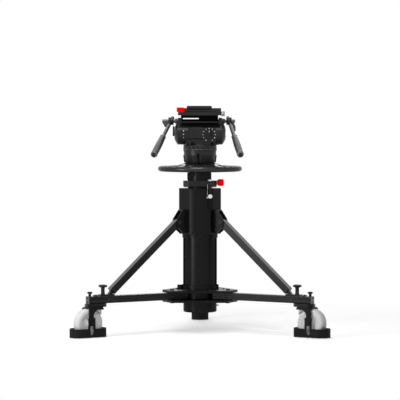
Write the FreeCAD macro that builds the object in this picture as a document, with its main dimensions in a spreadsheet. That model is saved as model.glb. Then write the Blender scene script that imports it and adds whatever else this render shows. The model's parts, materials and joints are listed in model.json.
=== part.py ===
import FreeCAD, Part

import math
import os

import Sketcher
from FreeCAD import Placement, Rotation, Vector

# Sizes in millimetres and degrees, measured from the piece that each one stands on.
SIZES = {
    # Gaps between pieces
    "clearance": 0.3,
    "running_fit": 0.05,
    "overrun": 4,
    # Casters
    "wheel_radius": 62.5,
    "wheel_width": 48,
    "wheel_shoulder": 13,
    "wheel_boss_radius": 12,
    "wheel_face_recess": 1.5,
    "wheel_face_radius": 40,
    "axle_radius": 6,
    "axle_nut_radius": 10,
    "axle_nut_depth": 5,
    "caster_trail": 37,
    "blade_gap": 59.4,
    "blade_thickness": 5,
    "blade_width": 22,
    "blade_curve": 26,
    "blade_reach": 22,
    "blade_flange": 6,
    "blade_end_radius": 10,
    "swivel_plate_length": 73,
    "swivel_plate_shift": 11.5,
    "swivel_plate_corner": 15,
    "wheel_headroom": 1.7,
    "kingpin_radius": 8,
    "kingpin_length": 11,
    "fender_start": 51,
    "fender_length": 34,
    "fender_gap": 2,
    "guard_length": 165,
    "guard_corner": 36,
    "guard_wall": 4.5,
    "guard_bottom": 3,
    "guard_top": 41,
    "guard_ear_width": 33,
    "guard_ear_top": 87,
    "guard_slot_radius": 7.5,
    "guard_slot_bottom": 21.5,
    # Legs
    "left_leg_direction": 210,
    "right_leg_direction": 330,
    "rear_leg_direction": 90,
    "caster_mount_radius": 517,
    "leg_start": 75,
    "leg_overhang": 33,
    "leg_width": 34,
    "leg_height": 32,
    "leg_bottom": 145,
    "leg_wall": 3.5,
    "leg_edge_radius": 4,
    "leg_channel_depth": 1.8,
    "leg_channel_height": 11,
    "leg_cap_thickness": 6,
    "mount_length": 100,
    "mount_width": 48,
    "mount_thickness": 14,
    "kingpin_cap_radius": 12.5,
    "kingpin_cap_height": 4,
    "swivel_lock_offset": 28,
    "swivel_lock_radius": 11,
    "swivel_lock_foot_radius": 6,
    "swivel_lock_head": 9,
    "swivel_lock_height": 20,
    "swivel_lock_screw_radius": 3,
    # Dolly plates and the clamp ring
    "plate_long_side": 121,
    "plate_short_side": 166,
    "plate_thickness": 10,
    "plate_edge_radius": 3,
    "leg_bolt_place": 141,
    "leg_bolt_radius": 6,
    "leg_bolt_head_radius": 9,
    "leg_bolt_head_height": 5,
    "clamp_ring_radius": 82.5,
    "clamp_ring_height": 18,
    "clamp_lug_end": 100,
    "clamp_lug_width": 16,
    "clamp_lug_hole_radius": 3,
    "clamp_lug_hole_rise": 9,
    # Pressure housing
    "pressure_radius": 73.5,
    "pressure_bottom": 87,
    "pressure_edge": 3,
    "pressure_wall": 6,
    "hub_radius": 50,
    "cover_screw_radius": 3,
    "cover_screw_proud": 1,
    "cover_screw_rise": 6,
    "cover_screw_count": 6,
    "valve_radius": 2.5,
    "valve_reach": 9.5,
    "valve_rise": 28,
    # Column
    "column_radius": 74.5,
    "column_bore_radius": 62,
    "housing_bottom": 431,
    "housing_height": 200,
    "housing_flat": 80,
    "housing_face_radius": 110,
    "housing_edge_radius": 2,
    "ring_radius": 78,
    "ring_height": 17,
    "panel_width": 43.5,
    "panel_height": 183,
    "panel_shift": -1.2,
    "panel_rise": 12,
    "panel_face": 86.7,
    "panel_corner": 8,
    "slot_start": 30.5,
    "slot_end": 59,
    "slot_floor": 60,
    "slot_length": 85,
    "slot_taper": 10,
    "bush_length": 60,
    "bush_flange_drop": 1,
    "lift_radius": 52,
    "lift_wall": 6,
    "piston_height": 20,
    "piston_gap": 16,
    "piston_fit": 0.2,
    # Struts and their brackets
    "strut_size": 30,
    "strut_wall": 2.5,
    "strut_pin_place": 114,
    "strut_pin_rise": 46,
    "strut_pin_radius": 5,
    "strut_pin_head_radius": 8,
    "strut_pin_head_depth": 3,
    "strut_foot_place": 434.7,
    "strut_foot_rise": 23.6,
    "strut_foot_end_gap": 8,
    "cheek_thickness": 5,
    "bracket_rise": 7,
    "bracket_height": 100,
    "bracket_nose": 130,
    "bracket_nose_drop": 22,
    "bracket_nose_rise": 16,
    "bracket_heel": 98,
    "bracket_web": 5,
    "foot_plate_heel": 2.7,
    "foot_plate_length": 68,
    "foot_plate_thickness": 6,
    "foot_tongue_radius": 10,
    "foot_tongue_thickness": 14,
    "foot_tongue_inset": 5,
    "foot_tongue_length": 21,
    "foot_pin_radius": 4,
    "strut_knob_offset": 47.3,
    "strut_knob_radius": 19.5,
    "strut_knob_stem_radius": 9.5,
    "strut_knob_stem_height": 31,
    "strut_knob_head_height": 11,
    "strut_knob_screw_radius": 4,
    # Top collar, brake knob and latch
    "collar_gap": 6,
    "collar_height": 28,
    "collar_long_side": 57,
    "collar_short_side": 71,
    "collar_chamfer": 3,
    "brake_rise": 19,
    "brake_screw_radius": 5,
    "brake_screw_length": 8,
    "brake_boss_radius": 8,
    "brake_boss_length": 9,
    "brake_knob_radius": 15.5,
    "brake_knob_length": 30,
    "brake_knob_edge": 8,
    "latch_place": 44,
    "latch_front": 71,
    "latch_hinge_rise": 14,
    "latch_hinge_radius": 6,
    "latch_pin_radius": 2.5,
    "latch_width": 12,
    "latch_thickness": 4,
    "latch_length": 53,
    "latch_knob_radius": 9,
    "latch_knob_length": 14,
    "latch_ear_thickness": 4,
    "keeper_radius": 7,
    # Neck, steering ring and bowl
    "neck_radius": 50,
    "neck_wall": 8,
    "neck_foot_radius": 54,
    "neck_foot_height": 5,
    "neck_lug_width": 12,
    "neck_lug_reach": 56,
    "neck_lug_height": 30,
    "neck_lug_front": 34,
    "ring_centre_radius": 173,
    "ring_tube_radius": 12,
    "ring_drop": 5,
    "ring_hub_radius": 60,
    "neck_height": 57,
    "ring_dish_radius": 95,
    "ring_dish_rise": 5,
    "ring_dish_thickness": 6,
    "spoke_width": 24,
    "spoke_count": 4,
    "spoke_direction": 45,
    "spoke_thickness": 7,
    "ring_hub_height": 23,
    "bowl_height": 32,
    "bowl_foot_radius": 64,
    "bowl_radius": 70.5,
    "bowl_bore_radius": 60,
    "bowl_floor": 8,
    "bowl_hole_radius": 30,
    "bowl_rib_width": 14,
    "bowl_rib_reach": 74,
    "bowl_rib_count": 4,
    # Pan part of the head
    "base_ring_radius": 72,
    "base_ring_height": 19,
    "ball_radius": 40,
    "ball_drop": 20,
    "drag_seat_radius": 58,
    "drag_ring_radius": 73.5,
    "drag_ring_height": 13,
    "drag_notch_radius": 1.2,
    "drag_notch_count": 36,
    "pan_spindle_radius": 20,
    "pan_spindle_length": 20,
    "pan_block_radius": 73.5,
    "pan_block_height": 13,
    "pan_saddle_radius": 60,
    "pan_saddle_height": 11,
    "pan_block_chamfer": 3,
    "pan_lever_place": -45,
    "pan_lever_rise": 19,
    "pan_lever_front": 75,
    "pan_lever_boss_radius": 7,
    "pan_lever_pin_radius": 4,
    "pan_lever_thickness": 6,
    "pan_lever_width": 8,
    "pan_lever_length": 24,
    "tilt_rise": 40,
    "drum_radius": 50,
    "drum_left": -62,
    "drum_right": 82,
    "drum_flat": 45,
    "drum_flat_left": -54,
    "drum_flat_right": 70,
    "drum_foot_depth": 42,
    "drum_foot_left": -60,
    "tilt_ring_radius": 50.5,
    "tilt_ring_seat_radius": 40,
    "tilt_ring_width": 20,
    "tilt_axle_radius": 8,
    "dial_place": 40,
    "dial_drop": 6,
    "dial_knob_radius": 9,
    "dial_knob_length": 55,
    "dial_knob_depth": 13,
    "dial_hub_radius": 14,
    "dial_hub_depth": 5,
    "dial_shaft_radius": 5,
    "dial_shaft_length": 12,
    "tilt_lever_width": 10,
    "tilt_lever_length": 32,
    "tilt_lever_thickness": 8,
    "tilt_lever_hub_radius": 13,
    # Tilting part of the head
    "cap_rim_width": 15.7,
    "cap_face_width": 6,
    "cap_face_radius": 26,
    "cap_shoulder_radius": 39,
    "cap_shoulder_width": 8,
    "yoke_half_depth": 32,
    "yoke_wall": 13.7,
    "yoke_gap": 2,
    "yoke_saddle_half_depth": 22,
    "yoke_saddle_fit": 0.9,
    "yoke_thickness": 10,
    "platform_gap": 6,
    "platform_half_depth": 80,
    "platform_left": -96,
    "platform_right": 92,
    "platform_waist_left": -83,
    "platform_waist_right": 79,
    "platform_waist_height": 10.5,
    "platform_height": 42,
    "slit_right": -5,
    "plate_left": -58,
    "plate_right": 52,
    "plate_half_depth": 76,
    "plate_sink": 8,
    "plate_rise": 10,
    "plate_chamfer": 4,
    "camera_hole_radius": 5,
    "camera_pin_hole_radius": 3.5,
    "camera_pin_place": 28,
    "lever_pivot_x": -81,
    "lever_pivot_y": -22,
    "lever_radius": 11,
    "lever_length": 47,
    "lever_drop": 17,
    "lever_rise": 3,
    "lever_tab_end": -102,
    "lever_tab_length": 26,
    "lever_pin_radius": 4,
    "lever_pin_length": 8,
    "balance_place": -40,
    "balance_drop": 24,
    "balance_radius": 11,
    "balance_length": 17,
    "balance_pin_radius": 4,
    "balance_pin_length": 10,
    "rosette_rise": 53,
    "rosette_radius": 11.5,
    "rosette_length": 13,
    "rosette_teeth": 18,
    "rosette_tooth_depth": 1.5,
    "stud_radius": 5,
    "stud_collar_radius": 8,
    "stud_length": 7,
    # Pan bars
    "stud_collar_length": 7,
    "hub_length": 23,
    "hub_outer_radius": 17,
    "bar_radius": 8,
    "bar_tail": 33,
    "grip_end_depth": -290,
    "grip_drop": 143,
    "left_grip_end": 197,
    "right_grip_end": 173,
    "grip_radius": 15,
    "grip_neck_radius": 12.5,
    "grip_length": 175,
    "grip_edge": 3,
    "grip_socket_radius": 9,
    "grip_socket_depth": 3,
    "left_lever_end": 166,
    "left_lever_reach": 25,
    "left_lever_spread": -6,
    "right_lever_end": 154,
    "right_lever_reach": 46,
    "right_lever_spread": 3,
    "bar_lever_thickness": 13,
    "bar_lever_nut_radius": 8,
}

# How close two places have to be to count as the same.
SAME_PLACE = 1e-3
LONG_SIDE_DIRECTIONS = (-90, 30, 150)


class Size(float):
    """A size that remembers the spreadsheet expression that it comes from."""

    def __new__(cls, number, text):
        size = super().__new__(cls, number)
        size.text = text
        return size

    def __add__(self, other):
        return joined(self, "+", other, float(self) + float(other))

    def __radd__(self, other):
        return joined(other, "+", self, float(other) + float(self))

    def __sub__(self, other):
        return joined(self, "-", other, float(self) - float(other))

    def __rsub__(self, other):
        return joined(other, "-", self, float(other) - float(self))

    def __mul__(self, other):
        return joined(self, "*", other, float(self) * float(other))

    def __rmul__(self, other):
        return joined(other, "*", self, float(other) * float(self))

    def __truediv__(self, other):
        return joined(self, "/", other, float(self) / float(other))

    def __neg__(self):
        return joined(0, "-", self, -float(self))


def joined(left, sign, right, number):
    """Two sizes or plain factors with a sign between them, as one size."""
    return Size(number, f"({wording(left)} {sign} {wording(right)})")


def wording(size):
    """What a size is called in an expression."""
    return size.text if isinstance(size, Size) else f"{float(size):.12g}"


def hypotenuse(first, second):
    """The long side over two sides at a right angle."""
    text = f"sqrt({wording(first)} ^ 2 + {wording(second)} ^ 2)"
    return Size(math.hypot(float(first), float(second)), text)


doc = FreeCAD.newDocument("Pedestal")
sheet = doc.addObject("Spreadsheet::Sheet", "Sizes")
for row, (name, number) in enumerate(SIZES.items(), start=1):
    sheet.set(f"A{row}", name)
    sheet.set(f"B{row}", str(number))
    sheet.setAlias(f"B{row}", name)
doc.recompute()


class Sizes:
    """Every named size of the sheet, and every place that follows from them, as an attribute."""


s = Sizes()
for name in SIZES:
    setattr(s, name, Size(sheet.get(name), f"Sizes.{name}"))

# The three legs: name and direction in degrees from the operator's right.
LEG_DIRECTIONS = {
    "left": s.left_leg_direction,
    "right": s.right_leg_direction,
    "rear": s.rear_leg_direction,
}

# Distances from the column's axis along a leg.
s.leg_end = s.caster_mount_radius + s.leg_overhang
s.swivel_lock_place = s.caster_mount_radius + s.swivel_lock_offset
s.foot_plate_start = s.strut_foot_place - s.foot_plate_heel
s.foot_plate_end = s.foot_plate_start + s.foot_plate_length
s.foot_tongue_start = s.foot_plate_start + s.foot_tongue_inset
s.foot_tongue_end = s.foot_tongue_start + s.foot_tongue_length
s.strut_knob_place = s.strut_foot_place + s.strut_knob_offset

# Heights above the floor, each from the piece underneath.
s.leg_top = s.leg_bottom + s.leg_height
s.dolly_top = s.leg_top + s.clearance + s.plate_thickness
s.valve_height = s.pressure_bottom + s.valve_rise
s.strut_foot_height = s.leg_top + s.strut_foot_rise
s.bracket_bottom = s.housing_bottom + s.bracket_rise
s.bracket_top = s.bracket_bottom + s.bracket_height
s.strut_pin_height = s.bracket_bottom + s.strut_pin_rise
s.collar_bottom = s.housing_bottom + s.housing_height + s.collar_gap
s.collar_top = s.collar_bottom + s.collar_height
s.brake_height = s.collar_bottom + s.brake_rise
s.latch_hinge_height = s.collar_bottom + s.latch_hinge_rise
s.latch_knob_height = s.latch_hinge_height - s.latch_length
s.ring_hub_bottom = s.collar_top + s.neck_height
s.ring_centre_height = s.ring_hub_bottom - s.ring_drop
s.ring_dish_bottom = s.ring_hub_bottom + s.ring_dish_rise
s.ring_dish_top = s.ring_dish_bottom + s.ring_dish_thickness
s.bowl_bottom = s.ring_hub_bottom + s.ring_hub_height
s.bowl_top = s.bowl_bottom + s.bowl_height
s.pan_block_bottom = s.bowl_top + s.base_ring_height + s.drag_ring_height
s.pan_lever_height = s.pan_block_bottom + s.pan_lever_rise
s.saddle_top = s.pan_block_bottom + s.pan_block_height + s.pan_saddle_height
s.tilt_height = s.saddle_top + s.tilt_rise
s.dial_height = s.tilt_height - s.dial_drop
s.yoke_bottom = s.tilt_height + s.drum_radius + s.yoke_gap
s.platform_bottom = s.yoke_bottom + s.yoke_thickness + s.platform_gap
s.platform_waist_top = s.platform_bottom + s.platform_waist_height
s.platform_top = s.platform_bottom + s.platform_height
s.plate_top = s.platform_top + s.plate_rise
s.lever_bottom = s.platform_top - s.lever_drop
s.lever_top = s.platform_top + s.lever_rise
s.balance_height = s.platform_top - s.balance_drop
s.rosette_height = s.tilt_height + s.rosette_rise
s.grip_end_height = s.rosette_height - s.grip_drop

# Distances from the middle of the head, each from the piece inside it.
s.cap_start = s.drum_right + s.clearance
s.cap_rim = s.cap_start + s.cap_rim_width
s.cap_shoulder = s.cap_rim + s.cap_shoulder_width
s.cap_end = s.cap_shoulder + s.cap_face_width
s.yoke_outer = s.cap_start + s.yoke_wall
s.rosette_end = s.yoke_outer + s.rosette_length
s.hub_start = s.rosette_end + s.stud_collar_length
s.hub_end = s.hub_start + s.hub_length
s.bar_start = (s.hub_start + s.hub_end) / 2
s.stud_end = s.hub_end + s.stud_length
s.balance_end = s.platform_right + s.balance_length

nodes = []


def bind(target, place, size):
    """Ties one property of an object to the sheet."""
    target.setExpression(place, wording(size))


# Sketches


def origin_plane(body, role):
    """One of a body's own three origin planes."""
    return next(plane for plane in body.Origin.OriginFeatures if plane.Role == role)


def hold(sketch, element, point, corner):
    """Holds a point of a sketch at two distances from the sketch's origin."""
    for kind, axis, distance in (("DistanceX", -2, corner[0]), ("DistanceY", -1, corner[1])):
        if float(distance) == 0:
            sketch.addConstraint(Sketcher.Constraint("PointOnObject", element, point, axis))
            continue
        index = sketch.addConstraint(Sketcher.Constraint(kind, -1, 1, element, point, float(distance)))
        bind(sketch, f"Constraints[{index}]", distance)


def draw_polygon(sketch, corners):
    """A closed outline of straight edges."""
    first = sketch.GeometryCount
    points = [Vector(float(x), float(y), 0) for x, y in corners]
    for here, there in zip(points, points[1:] + points[:1]):
        sketch.addGeometry(Part.LineSegment(here, there))
    for index, corner in enumerate(corners):
        following = first + (index + 1) % len(corners)
        sketch.addConstraint(Sketcher.Constraint("Coincident", first + index, 2, following, 1))
        hold(sketch, first + index, 1, corner)


def draw_circle(sketch, centre, radius):
    """A full circle."""
    middle = Vector(float(centre[0]), float(centre[1]), 0)
    circle = sketch.addGeometry(Part.Circle(middle, Vector(0, 0, 1), float(radius)))
    hold(sketch, circle, 3, centre)
    index = sketch.addConstraint(Sketcher.Constraint("Radius", circle, float(radius)))
    bind(sketch, f"Constraints[{index}]", radius)


def draw_bulged(sketch, corners, radius):
    """A closed outline, anticlockwise, whose first and every second side is an arc that swells outwards."""
    first = sketch.GeometryCount
    count = len(corners)
    points = [Vector(float(x), float(y), 0) for x, y in corners]
    for index, (here, there) in enumerate(zip(points, points[1:] + points[:1])):
        if index % 2:
            sketch.addGeometry(Part.LineSegment(here, there))
            continue
        along = (there - here) / 2
        outward = Vector(along.y, -along.x, 0).normalize()
        swell = float(radius) - math.sqrt(float(radius) ** 2 - along.Length ** 2)
        sketch.addGeometry(Part.Arc(here, here + along + outward * swell, there))
    for index in range(count):
        following = first + (index + 1) % count
        sketch.addConstraint(Sketcher.Constraint("Coincident", first + index, 2, following, 1))
    for index in range(0, count, 2):
        hold(sketch, first + index, 1, corners[index])
        hold(sketch, first + index, 2, corners[index + 1])
        held = sketch.addConstraint(Sketcher.Constraint("Radius", first + index, float(radius)))
        bind(sketch, f"Constraints[{held}]", radius)


def draw_rounded(sketch, centres, radius):
    """A convex outline with round corners: the centres of its corners, anticlockwise, and their radius."""
    first = sketch.GeometryCount
    count = len(centres)
    middles = [Vector(float(x), float(y), 0) for x, y in centres]
    outward = []
    for here, there in zip(middles, middles[1:] + middles[:1]):
        along = (there - here).normalize()
        outward.append(Vector(along.y, -along.x, 0))
    for index, middle in enumerate(middles):
        before = math.atan2(outward[index - 1].y, outward[index - 1].x)
        after = math.atan2(outward[index].y, outward[index].x)
        if after < before:
            after += 2 * math.pi
        whole = Part.Circle(middle, Vector(0, 0, 1), float(radius))
        sketch.addGeometry(Part.ArcOfCircle(whole, before, after))
        here = middle + outward[index] * float(radius)
        there = middles[(index + 1) % count] + outward[index] * float(radius)
        sketch.addGeometry(Part.LineSegment(here, there))
    for index, centre in enumerate(centres):
        arc = first + 2 * index
        line = arc + 1
        following = first + 2 * ((index + 1) % count)
        sketch.addConstraint(Sketcher.Constraint("Tangent", arc, 2, line, 1))
        sketch.addConstraint(Sketcher.Constraint("Tangent", line, 2, following, 1))
        hold(sketch, arc, 3, centre)
        if index:
            sketch.addConstraint(Sketcher.Constraint("Equal", first, arc))
    held = sketch.addConstraint(Sketcher.Constraint("Radius", first, float(radius)))
    bind(sketch, f"Constraints[{held}]", radius)


def sketch_on(body, role, outlines, offset=0):
    """A sketch on an origin plane of a body. An outline is a list of corners, a (centre, radius) pair for a
    circle, a (centres, radius) pair for a rounded outline, or a dictionary for one with swelling sides."""
    sketch = body.newObject("Sketcher::SketchObject", "Outline")
    sketch.AttachmentSupport = [(origin_plane(body, role), "")]
    sketch.MapMode = "FlatFace"
    if float(offset):
        bind(sketch, "AttachmentOffset.Base.z", offset)
    for outline in outlines:
        if isinstance(outline, list):
            draw_polygon(sketch, outline)
        elif isinstance(outline, dict):
            draw_bulged(sketch, **outline)
        elif isinstance(outline[0], list):
            draw_rounded(sketch, *outline)
        else:
            draw_circle(sketch, *outline)
    return sketch


def rectangle(left, right, low, high):
    """The corners of an upright rectangle, anticlockwise."""
    return [(left, low), (right, low), (right, high), (left, high)]


def rounded_rectangle(half_length, half_width, radius, centre=0):
    """A rectangle with round corners, centred on its first axis."""
    x = half_length - radius
    y = half_width - radius
    return ([(centre - x, -y), (centre + x, -y), (centre + x, y), (centre - x, y)], radius)


def truncated_triangle(long_side, short_side):
    """A triangle with cut corners: the distances of its long and short sides from the middle. The long
    sides face the front and the two rear quarters, and the short sides face the legs."""
    corners = []
    for direction in LONG_SIDE_DIRECTIONS:
        for turn in (-60, 60):
            first = math.radians(direction)
            second = math.radians(direction + turn)
            scale = 1 / math.sin(second - first)
            x = (long_side * math.sin(second) - short_side * math.sin(first)) * scale
            y = (short_side * math.cos(first) - long_side * math.cos(second)) * scale
            corners.append((x, y))
    return corners


# Features


def new_body(name):
    """An empty body."""
    body = doc.addObject("PartDesign::Body", name)
    body.Label = name
    return body


def pad(body, role, outlines, length, offset=0, midplane=False, inward=False):
    """Raises a sketch into solid."""
    feature = body.newObject("PartDesign::Pad", "Pad")
    feature.Profile = sketch_on(body, role, outlines, offset)
    bind(feature, "Length", length)
    feature.Midplane = midplane
    feature.Reversed = inward
    return feature


def pocket(body, role, outlines, length, offset=0, midplane=False, outward=False):
    """Cuts a sketch out of the solid, against the sketch's own direction unless outward."""
    before = settled(body).Volume
    feature = body.newObject("PartDesign::Pocket", "Pocket")
    feature.Profile = sketch_on(body, role, outlines, offset)
    bind(feature, "Length", length)
    feature.Midplane = midplane
    feature.Reversed = outward
    checked_cut(body, before)
    return feature


def checked_cut(body, before):
    """Stops where a cut has removed nothing."""
    if settled(body).Volume >= before:
        raise RuntimeError(f"a cut in {body.Label} removes nothing")


def settled(body):
    """A body's shape after a recompute."""
    doc.recompute()
    return body.Shape


def revolve(body, profile, axis="V_Axis"):
    """Turns a profile in the XZ plane round its upright or its level axis."""
    feature = body.newObject("PartDesign::Revolution", "Revolution")
    sketch = sketch_on(body, "XZ_Plane", [profile])
    feature.Profile = sketch
    feature.ReferenceAxis = (sketch, [axis])
    feature.Angle = 360
    return feature


def repeat(body, feature, count, axis="V_Axis"):
    """Repeats a feature evenly round the body's Z axis: the V axis of an upright sketch, the N axis of a
    level one."""
    pattern = body.newObject("PartDesign::PolarPattern", "Pattern")
    pattern.Originals = [feature]
    pattern.Axis = (feature.Profile[0], [axis])
    pattern.Angle = 360
    bind(pattern, "Occurrences", count)
    body.Tip = pattern
    return pattern


def soften(body, kind, size, wanted):
    """Fillets or chamfers the edges of a body that a test picks."""
    shape = settled(body)
    edges = [f"Edge{k}" for k, edge in enumerate(shape.Edges, start=1) if wanted(edge)]
    if not edges:
        raise RuntimeError(f"no edge to soften on {body.Label}")
    base = body.Tip
    feature = body.newObject(f"PartDesign::{kind}", kind)
    feature.Base = (base, edges)
    bind(feature, "Radius" if kind == "Fillet" else "Size", size)
    return feature


def is_ring(edge, radius, height=None):
    """Whether an edge is a full circle of a radius, at a height if one is given."""
    curve = edge.Curve
    if not isinstance(curve, Part.Circle) or abs(curve.Radius - radius) > SAME_PLACE:
        return False
    return height is None or abs(curve.Center.z - height) < SAME_PLACE


def is_upright(edge, beyond=0):
    """Whether an edge is a straight line along Z that lies beyond a distance from the Z axis."""
    first, last = edge.Vertexes[0].Point, edge.Vertexes[-1].Point
    lean = (last - first).cross(Vector(0, 0, 1)).Length
    upright = isinstance(edge.Curve, Part.Line) and lean < SAME_PLACE
    return upright and math.hypot(first.x, first.y) > beyond


def turned(name, profile, axis="V_Axis"):
    """A body turned from one profile."""
    body = new_body(name)
    revolve(body, profile, axis)
    return body


def plate(name, outlines, thickness, bottom=0):
    """A body padded upwards from a level outline."""
    body = new_body(name)
    pad(body, "XY_Plane", outlines, thickness, bottom)
    return body


# Placing. The origin is on the floor under the middle of the whole outline, so the column stands behind it.


def column_offset():
    """How far the column's axis is from the origin, along Y."""
    reach = s.caster_mount_radius + s.caster_trail
    rear = reach + s.guard_length / 2
    slope = math.radians(LEG_DIRECTIONS["right"])
    straight = s.guard_length / 2 - s.guard_corner
    flat = guard_half_width() - s.guard_corner
    front = (reach + straight) * math.sin(slope) - flat * math.cos(slope) - s.guard_corner
    return -float(rear + front) / 2


def guard_half_width():
    """Half the outer width of a cable guard: the fork blades, a clearance and the guard's own wall."""
    return s.blade_gap / 2 + s.blade_thickness + s.clearance + s.guard_wall


AXIS_Y = column_offset()


def stand(piece, x=0, y=0, z=0, turn=None):
    """Sets a piece on the column's axis, moved by x, y and z and turned by a rotation."""
    piece.Placement = Placement(Vector(float(x), AXIS_Y + float(y), float(z)), turn or Rotation())
    return piece


def about_z(degrees):
    """A turn about the upright axis."""
    return Rotation(Vector(0, 0, 1), degrees)


def node(piece):
    """Keeps a finished piece for export under its label."""
    nodes.append(piece)
    return piece


def group(name, pieces):
    """Several solids under one name."""
    compound = doc.addObject("Part::Compound", name)
    compound.Label = name
    compound.Links = pieces
    return node(compound)


# Column and dolly


def make_column_tube():
    bottom = s.dolly_top
    profile = rectangle(s.column_bore_radius, s.column_radius, bottom, s.housing_bottom)
    node(stand(turned("column_tube", profile)))


def make_column_housing():
    across = s.housing_flat / math.cos(math.radians(30))
    corners = []
    for step in range(6):
        angle = math.radians(60 * step)
        corners.append((across * math.cos(angle), across * math.sin(angle)))
    outline = {"corners": corners, "radius": s.housing_face_radius}
    body = plate(
        "column_housing", [outline, ((0, 0), s.column_bore_radius)], s.housing_height, s.housing_bottom
    )
    soften(body, "Fillet", s.housing_edge_radius, lambda e: is_upright(e, s.housing_flat))
    low = s.housing_bottom + s.panel_rise
    high = low + s.panel_height
    left = s.panel_shift - s.panel_width / 2
    right = s.panel_shift + s.panel_width / 2
    cut = s.panel_corner
    panel = [
        (left, low + cut),
        (left + cut, low),
        (right - cut, low),
        (right, low + cut),
        (right, high - cut),
        (right - cut, high),
        (left + cut, high),
        (left, high - cut),
    ]
    pocket(body, "XZ_Plane", [panel], s.housing_flat, s.panel_face, outward=True)
    top = s.housing_bottom + s.housing_height
    slot = [
        (s.slot_start, top - s.slot_length),
        (s.slot_end, top - s.slot_length - s.slot_taper),
        (s.slot_end, top + s.overrun),
        (s.slot_start, top + s.overrun),
    ]
    pocket(body, "XZ_Plane", [slot], s.housing_flat, s.slot_floor, outward=True)
    node(stand(body))


def make_housing_ring():
    profile = rectangle(
        s.column_radius, s.ring_radius, s.housing_bottom - s.ring_height, s.housing_bottom
    )
    node(stand(turned("housing_ring", profile)))


def make_guide_bush():
    top = s.housing_bottom + s.housing_height - s.bush_flange_drop
    profile = rectangle(s.lift_radius + s.running_fit, s.column_bore_radius, top - s.bush_length, top)
    node(stand(turned("guide_bush", profile)))


def make_dolly_plate(name, bottom):
    outline = truncated_triangle(s.plate_long_side, s.plate_short_side)
    bolt_holes = []
    for direction in LEG_DIRECTIONS.values():
        angle = math.radians(direction)
        centre = (s.leg_bolt_place * math.cos(angle), s.leg_bolt_place * math.sin(angle))
        bolt_holes.append((centre, s.leg_bolt_radius + s.running_fit))
    body = plate(name, [outline, ((0, 0), s.hub_radius), *bolt_holes], s.plate_thickness, bottom)
    soften(body, "Fillet", s.plate_edge_radius, lambda e: is_upright(e, s.plate_long_side))
    node(stand(body))


def make_clamp_ring():
    bottom = s.dolly_top
    top = bottom + s.clamp_ring_height
    body = turned("clamp_ring", rectangle(s.column_radius, s.clamp_ring_radius, bottom, top))
    lug = rectangle(-s.clamp_lug_end, -s.column_radius - s.overrun, bottom, top)
    pad(body, "XZ_Plane", [lug], s.clamp_lug_width, midplane=True)
    middle = (s.clamp_ring_radius + s.clamp_lug_end) / 2
    hole = ((-middle, bottom + s.clamp_lug_hole_rise), s.clamp_lug_hole_radius)
    pocket(body, "XZ_Plane", [hole], s.clamp_lug_width * 2, midplane=True)
    node(stand(body))


def make_pressure_housing():
    top = s.leg_bottom - s.clearance - s.plate_thickness
    profile = [
        (0, s.pressure_bottom),
        (s.pressure_radius - s.pressure_edge, s.pressure_bottom),
        (s.pressure_radius, s.pressure_bottom + s.pressure_edge),
        (s.pressure_radius, top),
        (s.hub_radius, top),
        (s.hub_radius, s.dolly_top),
        (s.hub_radius - s.pressure_wall, s.dolly_top),
        (s.hub_radius - s.pressure_wall, s.pressure_bottom + s.pressure_wall),
        (0, s.pressure_bottom + s.pressure_wall),
    ]
    body = turned("pressure_housing", profile)
    valve = ((0, s.valve_height), s.valve_radius)
    pad(body, "YZ_Plane", [valve], s.valve_reach + s.overrun, s.pressure_radius - s.overrun)
    head = ((0, s.pressure_bottom + s.cover_screw_rise), s.cover_screw_radius)
    screw = pad(
        body, "XZ_Plane", [head], s.cover_screw_proud + s.overrun, s.pressure_radius - s.overrun
    )
    repeat(body, screw, s.cover_screw_count)
    node(stand(body))


def make_leg_bolts():
    bottom = s.leg_bottom - s.clearance - s.plate_thickness
    top = s.dolly_top
    bolts = []
    for side, direction in LEG_DIRECTIONS.items():
        profile = [
            (0, bottom - s.leg_bolt_head_height),
            (s.leg_bolt_head_radius, bottom - s.leg_bolt_head_height),
            (s.leg_bolt_head_radius, bottom),
            (s.leg_bolt_radius, bottom),
            (s.leg_bolt_radius, top),
            (s.leg_bolt_head_radius, top),
            (s.leg_bolt_head_radius, top + s.leg_bolt_head_height),
            (0, top + s.leg_bolt_head_height),
        ]
        angle = math.radians(direction)
        bolt = turned(f"leg_bolt_{side}", profile)
        place = float(s.leg_bolt_place)
        bolts.append(stand(bolt, place * math.cos(angle), place * math.sin(angle)))
    group("leg_bolts", bolts)


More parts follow.
